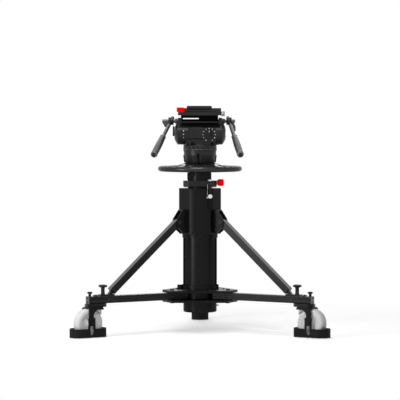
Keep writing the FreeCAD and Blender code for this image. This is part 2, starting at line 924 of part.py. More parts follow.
def make_strut_brackets():
    half = s.strut_size / 2 + s.clearance
    back = s.housing_flat
    cheek = [
        (back, s.bracket_bottom),
        (s.bracket_heel, s.bracket_bottom),
        (s.bracket_nose - s.strut_pin_radius, s.strut_pin_height - s.bracket_nose_drop),
        (s.bracket_nose, s.strut_pin_height),
        (s.bracket_nose - s.strut_pin_radius, s.strut_pin_height + s.bracket_nose_rise),
        (s.bracket_heel, s.bracket_top),
        (back, s.bracket_top),
    ]
    gap = [
        (back + s.bracket_web, s.bracket_bottom - s.overrun),
        (s.bracket_nose + s.overrun, s.bracket_bottom - s.overrun),
        (s.bracket_nose + s.overrun, s.bracket_top - s.bracket_web),
        (back + s.bracket_web, s.bracket_top - s.bracket_web),
    ]
    outer = half + s.cheek_thickness
    brackets = []
    for side, direction in LEG_DIRECTIONS.items():
        body = new_body(f"strut_bracket_{side}")
        pad(body, "XZ_Plane", [cheek], outer * 2, midplane=True)
        pocket(body, "XZ_Plane", [gap], half * 2, midplane=True)
        pin_place = (s.strut_pin_place, s.strut_pin_height)
        pad(body, "XZ_Plane", [(pin_place, s.strut_pin_radius)], outer * 2, midplane=True)
        heads = (outer + s.strut_pin_head_depth) * 2
        pad(body, "XZ_Plane", [(pin_place, s.strut_pin_head_radius)], heads, midplane=True)
        pocket(
            body,
            "XZ_Plane",
            [(pin_place, s.strut_pin_head_radius), (pin_place, s.strut_pin_radius)],
            half * 2,
            midplane=True,
        )
        brackets.append(stand(body, turn=about_z(direction)))
    group("strut_brackets", brackets)


def make_latch_keeper():
    """The seat of the latch's knob, on the floor of the slot."""
    body = new_body("latch_keeper")
    depth = s.latch_front - s.slot_floor - s.clearance
    outline = ((s.latch_place, s.latch_knob_height), s.keeper_radius)
    pad(body, "XZ_Plane", [outline], depth, s.slot_floor)
    node(stand(body))


# Rising column


def make_lift_tube():
    bottom = s.dolly_top + s.piston_gap
    top = s.collar_top
    bore = s.lift_radius - s.lift_wall
    piston = s.column_bore_radius - s.piston_fit
    profile = [
        (bore, bottom),
        (piston, bottom),
        (piston, bottom + s.piston_height),
        (s.lift_radius, bottom + s.piston_height),
        (s.lift_radius, top),
        (bore, top),
    ]
    node(stand(turned("lift_tube", profile)))


def collar_face():
    """Distance of the collar's face from the axis along X, at the brake knob."""
    return s.collar_long_side / math.cos(math.radians(LONG_SIDE_DIRECTIONS[1]))


def make_top_collar():
    bottom = s.collar_bottom
    outline = truncated_triangle(s.collar_long_side, s.collar_short_side)
    body = plate("top_collar", [outline, ((0, 0), s.lift_radius)], s.collar_height, bottom)
    level = float(bottom) + SAME_PLACE
    soften(
        body,
        "Chamfer",
        s.collar_chamfer,
        lambda e: isinstance(e.Curve, Part.Line) and max(v.Point.z for v in e.Vertexes) < level,
    )
    screw = ((0, s.brake_height), s.brake_screw_radius + s.running_fit)
    start = collar_face() - s.brake_screw_length - s.clearance
    pocket(body, "YZ_Plane", [screw], s.collar_short_side, start, outward=True)
    boss_seat = ((0, s.brake_height), s.brake_boss_radius + s.clearance)
    pocket(body, "YZ_Plane", [boss_seat], s.collar_short_side, collar_face(), outward=True)
    ear_gap = s.latch_width / 2 + s.clearance
    ear = rectangle(
        s.latch_place - ear_gap - s.latch_ear_thickness,
        s.latch_place + ear_gap + s.latch_ear_thickness,
        s.latch_hinge_height - s.latch_hinge_radius,
        bottom + s.collar_height,
    )
    reach = s.latch_front + s.latch_hinge_radius - s.collar_long_side + s.overrun
    pad(body, "XZ_Plane", [ear], reach, s.collar_long_side - s.overrun)
    hinge_room = rectangle(
        s.latch_place - ear_gap,
        s.latch_place + ear_gap,
        s.latch_hinge_height - s.latch_hinge_radius - s.overrun,
        bottom + s.collar_height + s.overrun,
    )
    pocket(body, "XZ_Plane", [hinge_room], reach + s.overrun, s.collar_long_side + s.clearance,
           outward=True)
    pin = ((-hinge_front(), s.latch_hinge_height), s.latch_pin_radius)
    length = ear_gap * 2 + s.latch_ear_thickness * 2
    pad(body, "YZ_Plane", [pin], length, s.latch_place - length / 2)
    node(stand(body))


def hinge_front():
    """Distance of the latch's hinge pin in front of the axis."""
    return s.latch_front + s.latch_thickness / 2


def make_brake_knob():
    fit = s.brake_screw_radius
    knob_start = s.clearance + s.brake_boss_length
    end = knob_start + s.brake_knob_length
    profile = [
        (0, -s.brake_screw_length),
        (fit, -s.brake_screw_length),
        (fit, s.clearance),
        (s.brake_boss_radius, s.clearance),
        (s.brake_boss_radius, knob_start),
        (s.brake_knob_radius, knob_start),
        (s.brake_knob_radius, end),
        (0, end),
    ]
    body = turned("brake_knob", profile)
    soften(body, "Fillet", s.brake_knob_edge, lambda e: is_ring(e, s.brake_knob_radius, end))
    turn = Rotation(Vector(0, 0, 1), Vector(1, 0, 0))
    node(stand(body, collar_face(), 0, s.brake_height, turn))


def make_transport_latch():
    body = new_body("transport_latch")
    strap = ([(s.latch_place, s.latch_knob_height), (s.latch_place, s.latch_hinge_height)],
             s.latch_width / 2)
    pad(body, "XZ_Plane", [strap], s.latch_thickness, s.latch_front)
    barrel = ((-hinge_front(), s.latch_hinge_height), s.latch_hinge_radius - s.clearance)
    pad(body, "YZ_Plane", [barrel], s.latch_width, s.latch_place - s.latch_width / 2)
    knob = ((s.latch_place, s.latch_knob_height), s.latch_knob_radius)
    pad(body, "XZ_Plane", [knob], s.latch_knob_length, s.latch_front + s.latch_thickness)
    bore = ((-hinge_front(), s.latch_hinge_height), s.latch_pin_radius + s.running_fit)
    pocket(body, "YZ_Plane", [bore], s.latch_width * 2, s.latch_place, midplane=True)
    node(stand(body))


def make_neck():
    bottom = s.collar_top
    profile = [
        (s.neck_radius - s.neck_wall, bottom),
        (s.neck_foot_radius, bottom),
        (s.neck_foot_radius, bottom + s.neck_foot_height),
        (s.neck_radius, bottom + s.neck_foot_height),
        (s.neck_radius, s.bowl_bottom),
        (s.neck_radius - s.neck_wall, s.bowl_bottom),
    ]
    body = turned("neck", profile)
    lug = rectangle(
        -s.neck_lug_reach,
        -s.neck_lug_reach + s.neck_lug_width * 2,
        bottom + s.neck_foot_height,
        bottom + s.neck_foot_height + s.neck_lug_height,
    )
    pad(body, "XZ_Plane", [lug], s.neck_lug_front)
    node(stand(body))


def make_steering_ring():
    body = turned(
        "steering_ring",
        [
            (s.neck_radius, s.ring_hub_bottom),
            (s.ring_hub_radius, s.ring_hub_bottom),
            (s.ring_dish_radius, s.ring_dish_bottom),
            (s.ring_dish_radius, s.ring_dish_top),
            (s.ring_hub_radius, s.bowl_bottom),
            (s.neck_radius, s.bowl_bottom),
        ],
    )
    middle = (s.ring_centre_radius, s.ring_centre_height)
    revolve(body, (middle, s.ring_tube_radius))
    half = s.spoke_thickness / 2
    inner = s.ring_dish_radius - s.overrun
    inner_height = (s.ring_dish_bottom + s.ring_dish_top) / 2
    spoke = [
        (inner, inner_height - half),
        (s.ring_centre_radius, s.ring_centre_height - half),
        (s.ring_centre_radius, s.ring_centre_height + half),
        (inner, inner_height + half),
    ]
    arm = pad(body, "XZ_Plane", [spoke], s.spoke_width, midplane=True)
    repeat(body, arm, s.spoke_count)
    node(stand(body, turn=about_z(s.spoke_direction)))


def make_bowl():
    floor = s.bowl_bottom + s.bowl_floor
    profile = [
        (s.bowl_hole_radius, s.bowl_bottom),
        (s.bowl_foot_radius, s.bowl_bottom),
        (s.bowl_radius, s.bowl_top),
        (s.bowl_bore_radius, s.bowl_top),
        (s.bowl_bore_radius, floor),
        (s.bowl_hole_radius, floor),
    ]
    body = turned("bowl", profile)
    rib = [
        (s.bowl_foot_radius - s.bowl_floor / 2, s.bowl_bottom),
        (s.bowl_rib_reach - s.bowl_floor / 2, s.bowl_bottom),
        (s.bowl_rib_reach, s.bowl_top),
        (s.bowl_radius - s.bowl_floor / 2, s.bowl_top),
    ]
    arm = pad(body, "XZ_Plane", [rib], s.bowl_rib_width, midplane=True)
    repeat(body, arm, s.bowl_rib_count)
    node(stand(body))


def make_head_base():
    top = s.bowl_top + s.base_ring_height
    seat = top + s.drag_ring_height - s.clearance
    ball = s.bowl_bore_radius - s.clearance
    profile = [
        (0, s.bowl_top - s.ball_drop),
        (s.ball_radius, s.bowl_top - s.ball_drop),
        (ball, s.bowl_top - s.ball_drop / 2),
        (ball, s.bowl_top),
        (s.bowl_radius, s.bowl_top),
        (s.base_ring_radius, top),
        (s.drag_seat_radius, top),
        (s.drag_seat_radius, seat),
        (s.pan_spindle_radius, seat),
        (s.pan_spindle_radius, seat + s.pan_spindle_length),
        (0, seat + s.pan_spindle_length),
    ]
    node(stand(turned("head_base", profile)))


# Turning part of the head


def make_pan_drag_ring():
    bottom = s.bowl_top + s.base_ring_height + s.clearance
    top = s.pan_block_bottom - s.clearance
    profile = rectangle(s.drag_seat_radius + s.running_fit, s.drag_ring_radius, bottom, top)
    body = turned("pan_drag_ring", profile)
    notch = ((s.drag_ring_radius, 0), s.drag_notch_radius)
    cut = pocket(body, "XY_Plane", [notch], s.drag_ring_height * 2, bottom, midplane=True)
    repeat(body, cut, s.drag_notch_count, "N_Axis")
    node(stand(body))


def make_pan_block():
    bottom = s.pan_block_bottom
    top = bottom + s.pan_block_height
    bore = s.pan_spindle_radius + s.running_fit
    depth = s.pan_spindle_length
    profile = [
        (0, bottom + depth),
        (bore, bottom + depth),
        (bore, bottom),
        (s.pan_block_radius, bottom),
        (s.pan_block_radius, top - s.pan_block_chamfer),
        (s.pan_block_radius - s.pan_block_chamfer, top),
        (s.pan_saddle_radius, top),
        (s.pan_saddle_radius, s.saddle_top),
        (0, s.saddle_top),
    ]
    body = turned("pan_block", profile)
    boss = ((s.pan_lever_place, s.pan_lever_height), s.pan_lever_boss_radius)
    inner = s.drum_foot_depth + s.overrun
    pad(body, "XZ_Plane", [boss], s.pan_lever_front - inner, inner)
    hole = ((s.pan_lever_place, s.pan_lever_height), s.pan_lever_pin_radius + s.running_fit)
    pocket(body, "XZ_Plane", [hole], s.pan_lever_front, inner, outward=True)
    node(stand(body))


def make_pan_lock_lever():
    body = new_body("pan_lock_lever")
    front = s.pan_lever_front + s.clearance
    eye = (s.pan_lever_place, s.pan_lever_height)
    pad(body, "XZ_Plane", [(eye, s.pan_lever_boss_radius)], s.pan_lever_thickness, front)
    handle = ([(s.pan_lever_place, s.pan_lever_height - s.pan_lever_length), eye], s.pan_lever_width / 2)
    pad(body, "XZ_Plane", [handle], s.pan_lever_thickness, front)
    inner = s.drum_foot_depth + s.overrun + s.clearance
    pad(body, "XZ_Plane", [(eye, s.pan_lever_pin_radius)], front - inner, inner)
    node(stand(body))


def make_head_housing():
    body = new_body("head_housing")
    centre = (0, s.tilt_height)
    pad(body, "YZ_Plane", [(centre, s.drum_radius)], s.drum_right - s.drum_left, s.drum_left)
    seat = ((0, s.tilt_height), s.tilt_ring_seat_radius)
    pad(body, "YZ_Plane", [seat], s.tilt_ring_width, s.drum_left - s.tilt_ring_width)
    foot = rectangle(-s.drum_foot_depth, s.drum_foot_depth, s.saddle_top, s.tilt_height)
    pad(body, "YZ_Plane", [foot], s.drum_flat_right - s.drum_foot_left, s.drum_foot_left)
    under = rectangle(
        -s.drum_radius, s.drum_radius, s.tilt_height - s.drum_radius - s.overrun, s.saddle_top
    )
    pocket(body, "YZ_Plane", [under], s.drum_right * 4, midplane=True)
    face = rectangle(
        s.drum_flat_left,
        s.drum_flat_right,
        s.tilt_height - s.drum_radius,
        s.tilt_height + s.drum_radius,
    )
    pocket(body, "XZ_Plane", [face], s.drum_radius, s.drum_flat, outward=True)
    reach = s.drum_right + s.overrun - s.drum_left + s.tilt_ring_width
    bore = ((0, s.tilt_height), s.tilt_axle_radius)
    pocket(body, "YZ_Plane", [bore], reach * 2, midplane=True)
    shaft = ((s.dial_place, s.dial_height), s.dial_shaft_radius + s.running_fit)
    floor = s.drum_flat - s.dial_shaft_length - s.clearance
    pocket(body, "XZ_Plane", [shaft], s.drum_radius, floor, outward=True)
    node(stand(body))


def make_tilt_axle():
    body = new_body("tilt_axle")
    circle = ((0, s.tilt_height), s.tilt_axle_radius)
    left = s.cap_end + s.clearance + s.tilt_lever_thickness
    pad(body, "YZ_Plane", [circle], left + s.cap_end, -left)
    node(stand(body))


def make_tilt_drag_ring():
    body = new_body("tilt_drag_ring")
    centre = (0, s.tilt_height)
    rings = [(centre, s.tilt_ring_radius), (centre, s.tilt_ring_seat_radius + s.running_fit)]
    width = s.tilt_ring_width - s.clearance
    pad(body, "YZ_Plane", rings, width, s.drum_left - s.tilt_ring_width)
    node(stand(body))


def make_counterbalance_dial():
    body = new_body("counterbalance_dial")
    centre = (s.dial_place, s.dial_height)
    front = s.drum_flat + s.clearance
    half = s.dial_knob_length / 2 - s.dial_knob_radius
    pad(body, "XZ_Plane", [(centre, s.dial_hub_radius)], s.dial_hub_depth, front)
    ends = [(s.dial_place, s.dial_height - half), (s.dial_place, s.dial_height + half)]
    pad(body, "XZ_Plane", [(ends, s.dial_knob_radius)], s.dial_knob_depth, front)
    inner = s.drum_flat - s.dial_shaft_length
    pad(body, "XZ_Plane", [(centre, s.dial_shaft_radius)], front - inner, inner)
    node(stand(body))


def make_tilt_lock_lever():
    body = new_body("tilt_lock_lever")
    centre = (0, s.tilt_height)
    start = -s.cap_end - s.clearance - s.tilt_lever_thickness
    pad(body, "YZ_Plane", [(centre, s.tilt_lever_hub_radius)], s.tilt_lever_thickness, start)
    handle = ([centre, (0, s.tilt_height + s.tilt_lever_length - s.tilt_lever_width / 2)],
              s.tilt_lever_width / 2)
    pad(body, "YZ_Plane", [handle], s.tilt_lever_thickness, start)
    bore = (centre, s.tilt_axle_radius + s.running_fit)
    pocket(body, "YZ_Plane", [bore], s.cap_end * 4, midplane=True)
    node(stand(body))


# Tilting part of the head


def make_tilt_yoke():
    """The casting that tilts: two domed side caps joined by a cross plate that is hollowed over the drum,
    drawn about the tilt axis."""
    body = new_body("tilt_yoke")
    under = s.yoke_bottom - s.tilt_height
    over = under + s.yoke_thickness
    top = s.platform_bottom - s.tilt_height
    bridge = [
        (-s.yoke_outer, 0),
        (-s.cap_start, 0),
        (-s.cap_start, under),
        (s.cap_start, under),
        (s.cap_start, 0),
        (s.yoke_outer, 0),
        (s.yoke_outer, top),
        (s.cap_start, top),
        (s.cap_start, over),
        (-s.cap_start, over),
        (-s.cap_start, top),
        (-s.yoke_outer, top),
    ]
    pad(body, "XZ_Plane", [bridge], s.yoke_half_depth * 2, midplane=True)
    saddle = rectangle(-s.yoke_saddle_half_depth, s.yoke_saddle_half_depth, 0, over)
    pad(body, "YZ_Plane", [saddle], s.cap_start * 2, midplane=True)
    drum = ((0, 0), s.drum_radius + s.yoke_saddle_fit)
    pocket(body, "YZ_Plane", [drum], s.cap_start * 2, midplane=True)
    bore = s.tilt_axle_radius + s.running_fit
    for direction in (-1, 1):
        dome = [
            (s.cap_start * direction, bore),
            (s.cap_start * direction, s.drum_radius),
            (s.cap_rim * direction, s.drum_radius),
            (s.cap_shoulder * direction, s.cap_shoulder_radius),
            (s.cap_end * direction, s.cap_face_radius),
            (s.cap_end * direction, bore),
        ]
        revolve(body, dome, "H_Axis")
    pocket(body, "YZ_Plane", [((0, 0), bore)], s.cap_end * 4, midplane=True)
    seat = ((0, s.rosette_height - s.tilt_height), s.rosette_radius + s.clearance)
    pocket(body, "YZ_Plane", [seat], s.cap_end, s.yoke_outer, outward=True)
    pocket(body, "YZ_Plane", [seat], s.cap_end, -s.yoke_outer)
    node(stand(body, z=s.tilt_height))


def make_platform():
    body = new_body("platform")
    channel_left = s.plate_left - s.clearance
    channel_right = s.plate_right + s.clearance
    floor = s.platform_top - s.plate_sink
    under = s.yoke_bottom + s.yoke_thickness
    section = [
        (s.slit_right, under),
        (s.platform_waist_right, under),
        (s.platform_waist_right, s.platform_waist_top),
        (s.platform_right, s.platform_waist_top),
        (s.platform_right, s.platform_top),
        (channel_right, s.platform_top),
        (channel_right, floor),
        (channel_left, floor),
        (channel_left, s.platform_top),
        (s.platform_left, s.platform_top),
        (s.platform_left, s.platform_waist_top),
        (s.platform_waist_left, s.platform_waist_top),
        (s.platform_waist_left, s.platform_bottom),
        (s.slit_right, s.platform_bottom),
    ]
    pad(body, "XZ_Plane", [section], s.platform_half_depth * 2, midplane=True)
    wall = s.lever_pivot_x + s.lever_radius + s.clearance
    back = s.lever_pivot_y + s.lever_radius + s.clearance
    notch = rectangle(
        s.platform_left - s.overrun, wall, -s.platform_half_depth - s.overrun, back
    )
    pocket(body, "XY_Plane", [notch], s.platform_top, s.lever_bottom - s.clearance, outward=True)
    pin = ((s.lever_pivot_x, s.lever_pivot_y), s.lever_pin_radius + s.running_fit)
    pin_floor = s.lever_bottom - s.lever_pin_length - s.clearance
    pocket(body, "XY_Plane", [pin], s.platform_top, pin_floor, outward=True)
    bore = ((s.balance_place, s.balance_height), s.balance_pin_radius + s.running_fit)
    bore_floor = s.platform_right - s.balance_pin_length - s.clearance
    pocket(body, "YZ_Plane", [bore], s.platform_right, bore_floor, outward=True)
    node(stand(body))


def make_camera_plate():
    body = new_body("camera_plate")
    bottom = s.platform_top - s.plate_sink + s.clearance
    cut = s.plate_chamfer
    section = [
        (s.plate_left, bottom),
        (s.plate_right, bottom),
        (s.plate_right, s.plate_top - cut),
        (s.plate_right - cut, s.plate_top),
        (s.plate_left + cut, s.plate_top),
        (s.plate_left, s.plate_top - cut),
    ]
    pad(body, "XZ_Plane", [section], s.plate_half_depth * 2, midplane=True)
    middle = (s.plate_left + s.plate_right) / 2
    holes = [
        ((middle, 0), s.camera_hole_radius),
        ((middle, s.camera_pin_place), s.camera_pin_hole_radius),
    ]
    pocket(body, "XY_Plane", holes, s.plate_top, bottom - s.overrun, outward=True)
    node(stand(body))


def make_release_lever():
    body = new_body("release_lever")
    tip = s.lever_pivot_y - s.lever_length
    outline = ([(s.lever_pivot_x, tip), (s.lever_pivot_x, s.lever_pivot_y)], s.lever_radius)
    pad(body, "XY_Plane", [outline], s.lever_top - s.lever_bottom, s.lever_bottom)
    tab = rectangle(
        s.lever_tab_end,
        s.lever_pivot_x,
        tip - s.lever_radius,
        tip - s.lever_radius + s.lever_tab_length,
    )
    pad(body, "XY_Plane", [tab], s.lever_top - s.lever_bottom, s.lever_bottom)
    pin = ((s.lever_pivot_x, s.lever_pivot_y), s.lever_pin_radius)
    pad(body, "XY_Plane", [pin], s.lever_pin_length, s.lever_bottom - s.lever_pin_length)
    node(stand(body))


def make_balance_knob():
    body = new_body("balance_knob")
    centre = (s.balance_place, s.balance_height)
    start = s.platform_right + s.clearance
    pad(body, "YZ_Plane", [(centre, s.balance_radius)], s.balance_end - start, start)
    inner = s.platform_right - s.balance_pin_length
    pad(body, "YZ_Plane", [(centre, s.balance_pin_radius)], start - inner, inner)
    node(stand(body))


def make_rosettes():
    """Toothed discs with the studs that carry the pan bars, each drawn about its own axis."""
    collar_end = s.hub_start - s.clearance
    pieces = []
    for side, direction in (("left", -1), ("right", 1)):
        steps = [
            (s.yoke_outer, 0),
            (s.yoke_outer, s.rosette_radius),
            (s.rosette_end, s.rosette_radius),
            (s.rosette_end, s.stud_collar_radius),
            (collar_end, s.stud_collar_radius),
            (collar_end, s.stud_radius),
            (s.stud_end, s.stud_radius),
            (s.stud_end, 0),
        ]
        profile = [(distance * direction, radius) for distance, radius in steps]
        body = turned(f"rosette_{side}", profile, "H_Axis")
        notch = ((0, s.rosette_radius), s.rosette_tooth_depth)
        seat = s.yoke_outer * direction
        cut = pocket(body, "YZ_Plane", [notch], s.rosette_length, seat, outward=direction > 0)
        repeat(body, cut, s.rosette_teeth, "N_Axis")
        pieces.append(stand(body, z=s.rosette_height))
    group("rosettes", pieces)


# Pan bars


def cylinder(name, radius, height, place):
    """A bound primitive cylinder along its own Z axis."""
    piece = doc.addObject("Part::Cylinder", name)
    bind(piece, "Radius", radius)
    bind(piece, "Height", height)
    piece.Placement = place
    return piece


def make_pan_bar(side, direction, grip_end):
    aside = (grip_end - s.bar_start) * direction
    down = s.grip_end_height - s.rosette_height
    length = hypotenuse(hypotenuse(aside, down), s.grip_end_depth)
    turn = Rotation(Vector(0, 0, 1), Vector(aside, s.grip_end_depth, down))
    start = Vector(s.bar_start * direction, 0, s.rosette_height)
    shift = Vector(0, AXIS_Y, 0)
    across = Rotation(Vector(0, 0, 1), Vector(direction, 0, 0))
    hub_place = Vector(s.hub_start * direction, 0, s.rosette_height) + shift
    hub = cylinder(f"hub_{side}", s.hub_outer_radius, s.hub_end - s.hub_start,
                   Placement(hub_place, across))
    tail = turn.multVec(Vector(0, 0, float(s.bar_tail)))
    tube = cylinder(f"tube_{side}", s.bar_radius, length + s.bar_tail - s.grip_socket_depth,
                    Placement(start - tail + shift, turn))
    whole = doc.addObject("Part::MultiFuse", f"bar_whole_{side}")
    whole.Shapes = [hub, tube]
    bore = cylinder(f"bore_{side}", s.stud_radius + s.running_fit, s.hub_end - s.hub_start,
                    Placement(hub_place, across))
    bar = doc.addObject("Part::Cut", f"pan_bar_{side}")
    bar.Base = whole
    bar.Tool = bore
    bar.Label = f"pan_bar_{side}"
    node(bar)
    return start + shift, turn, length


def make_grip(side, start, turn, length):
    tail = -s.grip_length
    neck = s.grip_neck_radius
    profile = [
        (s.bar_radius, tail),
        (neck, tail),
        (s.grip_radius, tail / 2),
        (s.grip_radius, -s.grip_edge),
        (s.grip_radius - s.grip_edge, 0),
        (s.grip_socket_radius, 0),
        (s.grip_socket_radius, -s.grip_socket_depth),
        (s.bar_radius, -s.grip_socket_depth),
    ]
    body = turned(f"grip_{side}", profile)
    end = start + turn.multVec(Vector(0, 0, length))
    body.Placement = Placement(end, turn)
    node(body)


def make_bar_knob(side, direction, end, reach, spread):
    """A clamping lever: a nut on the stud and a blade that hangs from it, spreading away from the hub."""
    inner = s.hub_end + s.clearance
    body = new_body(f"bar_knob_{side}")
    middle = (inner + end) / 2
    blade = [
        (inner * direction, 0),
        (end * direction, 0),
        ((end + spread) * direction, -reach / 2),
        ((end + spread) * direction, -reach),
        (middle * direction, -reach),
        (inner * direction, -reach / 2),
    ]
    pad(body, "XZ_Plane", [blade], s.bar_lever_thickness, midplane=True)
    nut = ((0, 0), s.bar_lever_nut_radius)
    pad(body, "YZ_Plane", [nut], end - inner, inner * direction, inward=direction < 0)
    bore = ((0, 0), s.stud_radius + s.running_fit)
    depth = s.stud_end + s.clearance - s.hub_end
    pocket(body, "YZ_Plane", [bore], depth, s.hub_end * direction, outward=direction > 0)
    node(stand(body, z=s.rosette_height))


# Legs


def make_leg(side, direction):
    body = new_body(f"leg_beam_{side}")
    half = s.leg_width / 2
    low = s.leg_bottom
    high = s.leg_top
    middle = low + s.leg_height / 2
    groove = s.leg_channel_height / 2
    inset = s.leg_channel_depth
    section = [
        (-half, low),
        (half, low),
        (half, middle - groove),
        (half - inset, middle - groove + inset),
        (half - inset, middle + groove - inset),
        (half, middle + groove),
        (half, high),
        (-half, high),
        (-half, middle + groove),
        (-half + inset, middle + groove - inset),
        (-half + inset, middle - groove + inset),
        (-half, middle - groove),
    ]
    length = s.leg_end + s.leg_cap_thickness - s.leg_start
    pad(body, "YZ_Plane", [section], length, s.leg_start)
    corner = float(half)
    ends = (float(low), float(high))
    soften(
        body,
        "Fillet",
        s.leg_edge_radius,
        lambda e: isinstance(e.Curve, Part.Line)
        and e.Length > float(length) - SAME_PLACE
        and abs(abs(e.Vertexes[0].Point.y) - corner) < SAME_PLACE
        and min(abs(e.Vertexes[0].Point.z - level) for level in ends) < SAME_PLACE,
    )
    hollow = rectangle(
        -half + s.leg_wall + inset, half - s.leg_wall - inset, low + s.leg_wall, high - s.leg_wall
    )
    pocket(body, "YZ_Plane", [hollow], s.leg_end - s.leg_start + s.overrun, s.leg_start - s.overrun,
           outward=True)
    bolt = ((s.leg_bolt_place, 0), s.leg_bolt_radius + s.running_fit)
    pocket(body, "XY_Plane", [bolt], s.leg_height * 2, low - s.overrun, outward=True)
    mount = rounded_rectangle(
        s.mount_length / 2, s.mount_width / 2, s.mount_width / 2 - s.running_fit, s.caster_mount_radius
    )
    pad(body, "XY_Plane", [mount], s.mount_thickness, low - s.mount_thickness)
    kingpin = ((s.caster_mount_radius, 0), s.kingpin_radius + s.running_fit)
    pocket(body, "XY_Plane", [kingpin], s.kingpin_length + s.clearance + s.overrun,
           low - s.mount_thickness - s.overrun, outward=True)
    screw = ((s.swivel_lock_place, 0), s.swivel_lock_screw_radius + s.running_fit)
    pocket(body, "XY_Plane", [screw], s.leg_wall + s.overrun * 2, high - s.leg_wall - s.clearance,
           outward=True)
    outline = ((s.caster_mount_radius, 0), s.kingpin_cap_radius)
    cap = plate(f"kingpin_cap_{side}", [outline], s.kingpin_cap_height, high)
    pieces = [stand(piece, turn=about_z(direction)) for piece in (body, cap)]
    group(f"leg_{side}", pieces)


def make_swivel_lock(side, direction):
    bottom = s.leg_top
    foot = bottom + s.clearance
    top = foot + s.swivel_lock_height
    profile = [
        (0, bottom - s.leg_wall),
        (s.swivel_lock_screw_radius, bottom - s.leg_wall),
        (s.swivel_lock_screw_radius, foot),
        (s.swivel_lock_foot_radius, foot),
        (s.swivel_lock_foot_radius, top - s.swivel_lock_head),
        (s.swivel_lock_radius, top - s.swivel_lock_head / 2),
        (s.swivel_lock_radius, top),
        (0, top),
    ]
    body = turned(f"swivel_lock_{side}", profile)
    angle = math.radians(direction)
    place = float(s.swivel_lock_place)
    node(stand(body, place * math.cos(angle), place * math.sin(angle)))


def strut_slope():
    """The angle of a strut below the level, in degrees."""
    rise = s.strut_pin_height - s.strut_foot_height
    run = s.strut_foot_place - s.strut_pin_place
    return math.degrees(math.atan2(rise, run))


def make_strut(side, direction):
    tube = new_body(f"strut_tube_{side}")
    rise = s.strut_pin_height - s.strut_foot_height
    run = s.strut_foot_place - s.strut_pin_place
    length = hypotenuse(run, rise) + s.strut_foot_end_gap
    half = s.strut_size / 2
    blank = rectangle(0, length, -half, half)
    pad(tube, "XZ_Plane", [blank], s.strut_size, midplane=True)
    pad(tube, "XZ_Plane", [((0, 0), half)], s.strut_size, midplane=True)
    bore = half - s.strut_wall
    hollow = rectangle(-bore, bore, -bore, bore)
    pocket(tube, "YZ_Plane", [hollow], length, s.strut_size, outward=True)
    pin = ((0, 0), s.strut_pin_radius + s.running_fit)
    pocket(tube, "XZ_Plane", [pin], s.strut_size * 2, midplane=True)
    lean = Rotation(Vector(0, 1, 0), strut_slope())
    heading = about_z(direction)
    pivot = heading.multVec(Vector(float(s.strut_pin_place), 0, float(s.strut_pin_height)))
    stand(tube, pivot.x, pivot.y, pivot.z, heading.multiply(lean))

    foot = new_body(f"strut_foot_{side}")
    bottom = s.leg_top + s.clearance
    top = bottom + s.foot_plate_thickness
    sole = rectangle(s.foot_plate_start, s.foot_plate_end, -half, half)
    pad(foot, "XY_Plane", [sole], s.foot_plate_thickness, bottom)
    radius = s.foot_tongue_radius
    tongue = [
        (s.foot_tongue_start, top),
        (s.foot_tongue_end, top),
        (s.strut_foot_place + radius, s.strut_foot_height),
        (s.strut_foot_place, s.strut_foot_height),
    ]
    pad(foot, "XZ_Plane", [tongue], s.foot_tongue_thickness, midplane=True)
    eye = (s.strut_foot_place, s.strut_foot_height)
    pad(foot, "XZ_Plane", [(eye, radius)], s.foot_tongue_thickness, midplane=True)
    pad(foot, "XZ_Plane", [(eye, s.foot_pin_radius)], bore * 2, midplane=True)
    screw = ((s.strut_knob_place, 0), s.strut_knob_screw_radius + s.running_fit)
    pocket(foot, "XY_Plane", [screw], s.foot_plate_thickness * 2, bottom - s.overrun, outward=True)
    stand(foot, turn=heading)
    group(f"strut_{side}", [tube, foot])


def make_strut_knob(side, direction):
    bottom = s.leg_top + s.clearance * 2
    seat = bottom + s.foot_plate_thickness
    neck = seat + s.strut_knob_stem_height
    top = neck + s.strut_knob_head_height
    profile = [
        (0, bottom),
        (s.strut_knob_screw_radius, bottom),
        (s.strut_knob_screw_radius, seat),
        (s.strut_knob_stem_radius, seat),
        (s.strut_knob_stem_radius, neck),
        (s.strut_knob_radius, neck),
        (s.strut_knob_radius, top - s.strut_knob_head_height / 2),
        (s.strut_knob_radius - s.strut_knob_head_height / 2, top - s.strut_knob_head_height / 8),
        (0, top),
    ]
    body = turned(f"strut_knob_{side}", profile)
    angle = math.radians(direction)
    place = float(s.strut_knob_place)
    node(stand(body, place * math.cos(angle), place * math.sin(angle)))


# Casters: each is drawn with its swivel axis on the origin and its wheel trailing along X.


def place_caster(piece, direction):
    """Stands a caster's piece under the end of its leg."""
    angle = math.radians(direction)
    place = float(s.caster_mount_radius)
    return stand(piece, place * math.cos(angle), place * math.sin(angle), 0, about_z(direction))


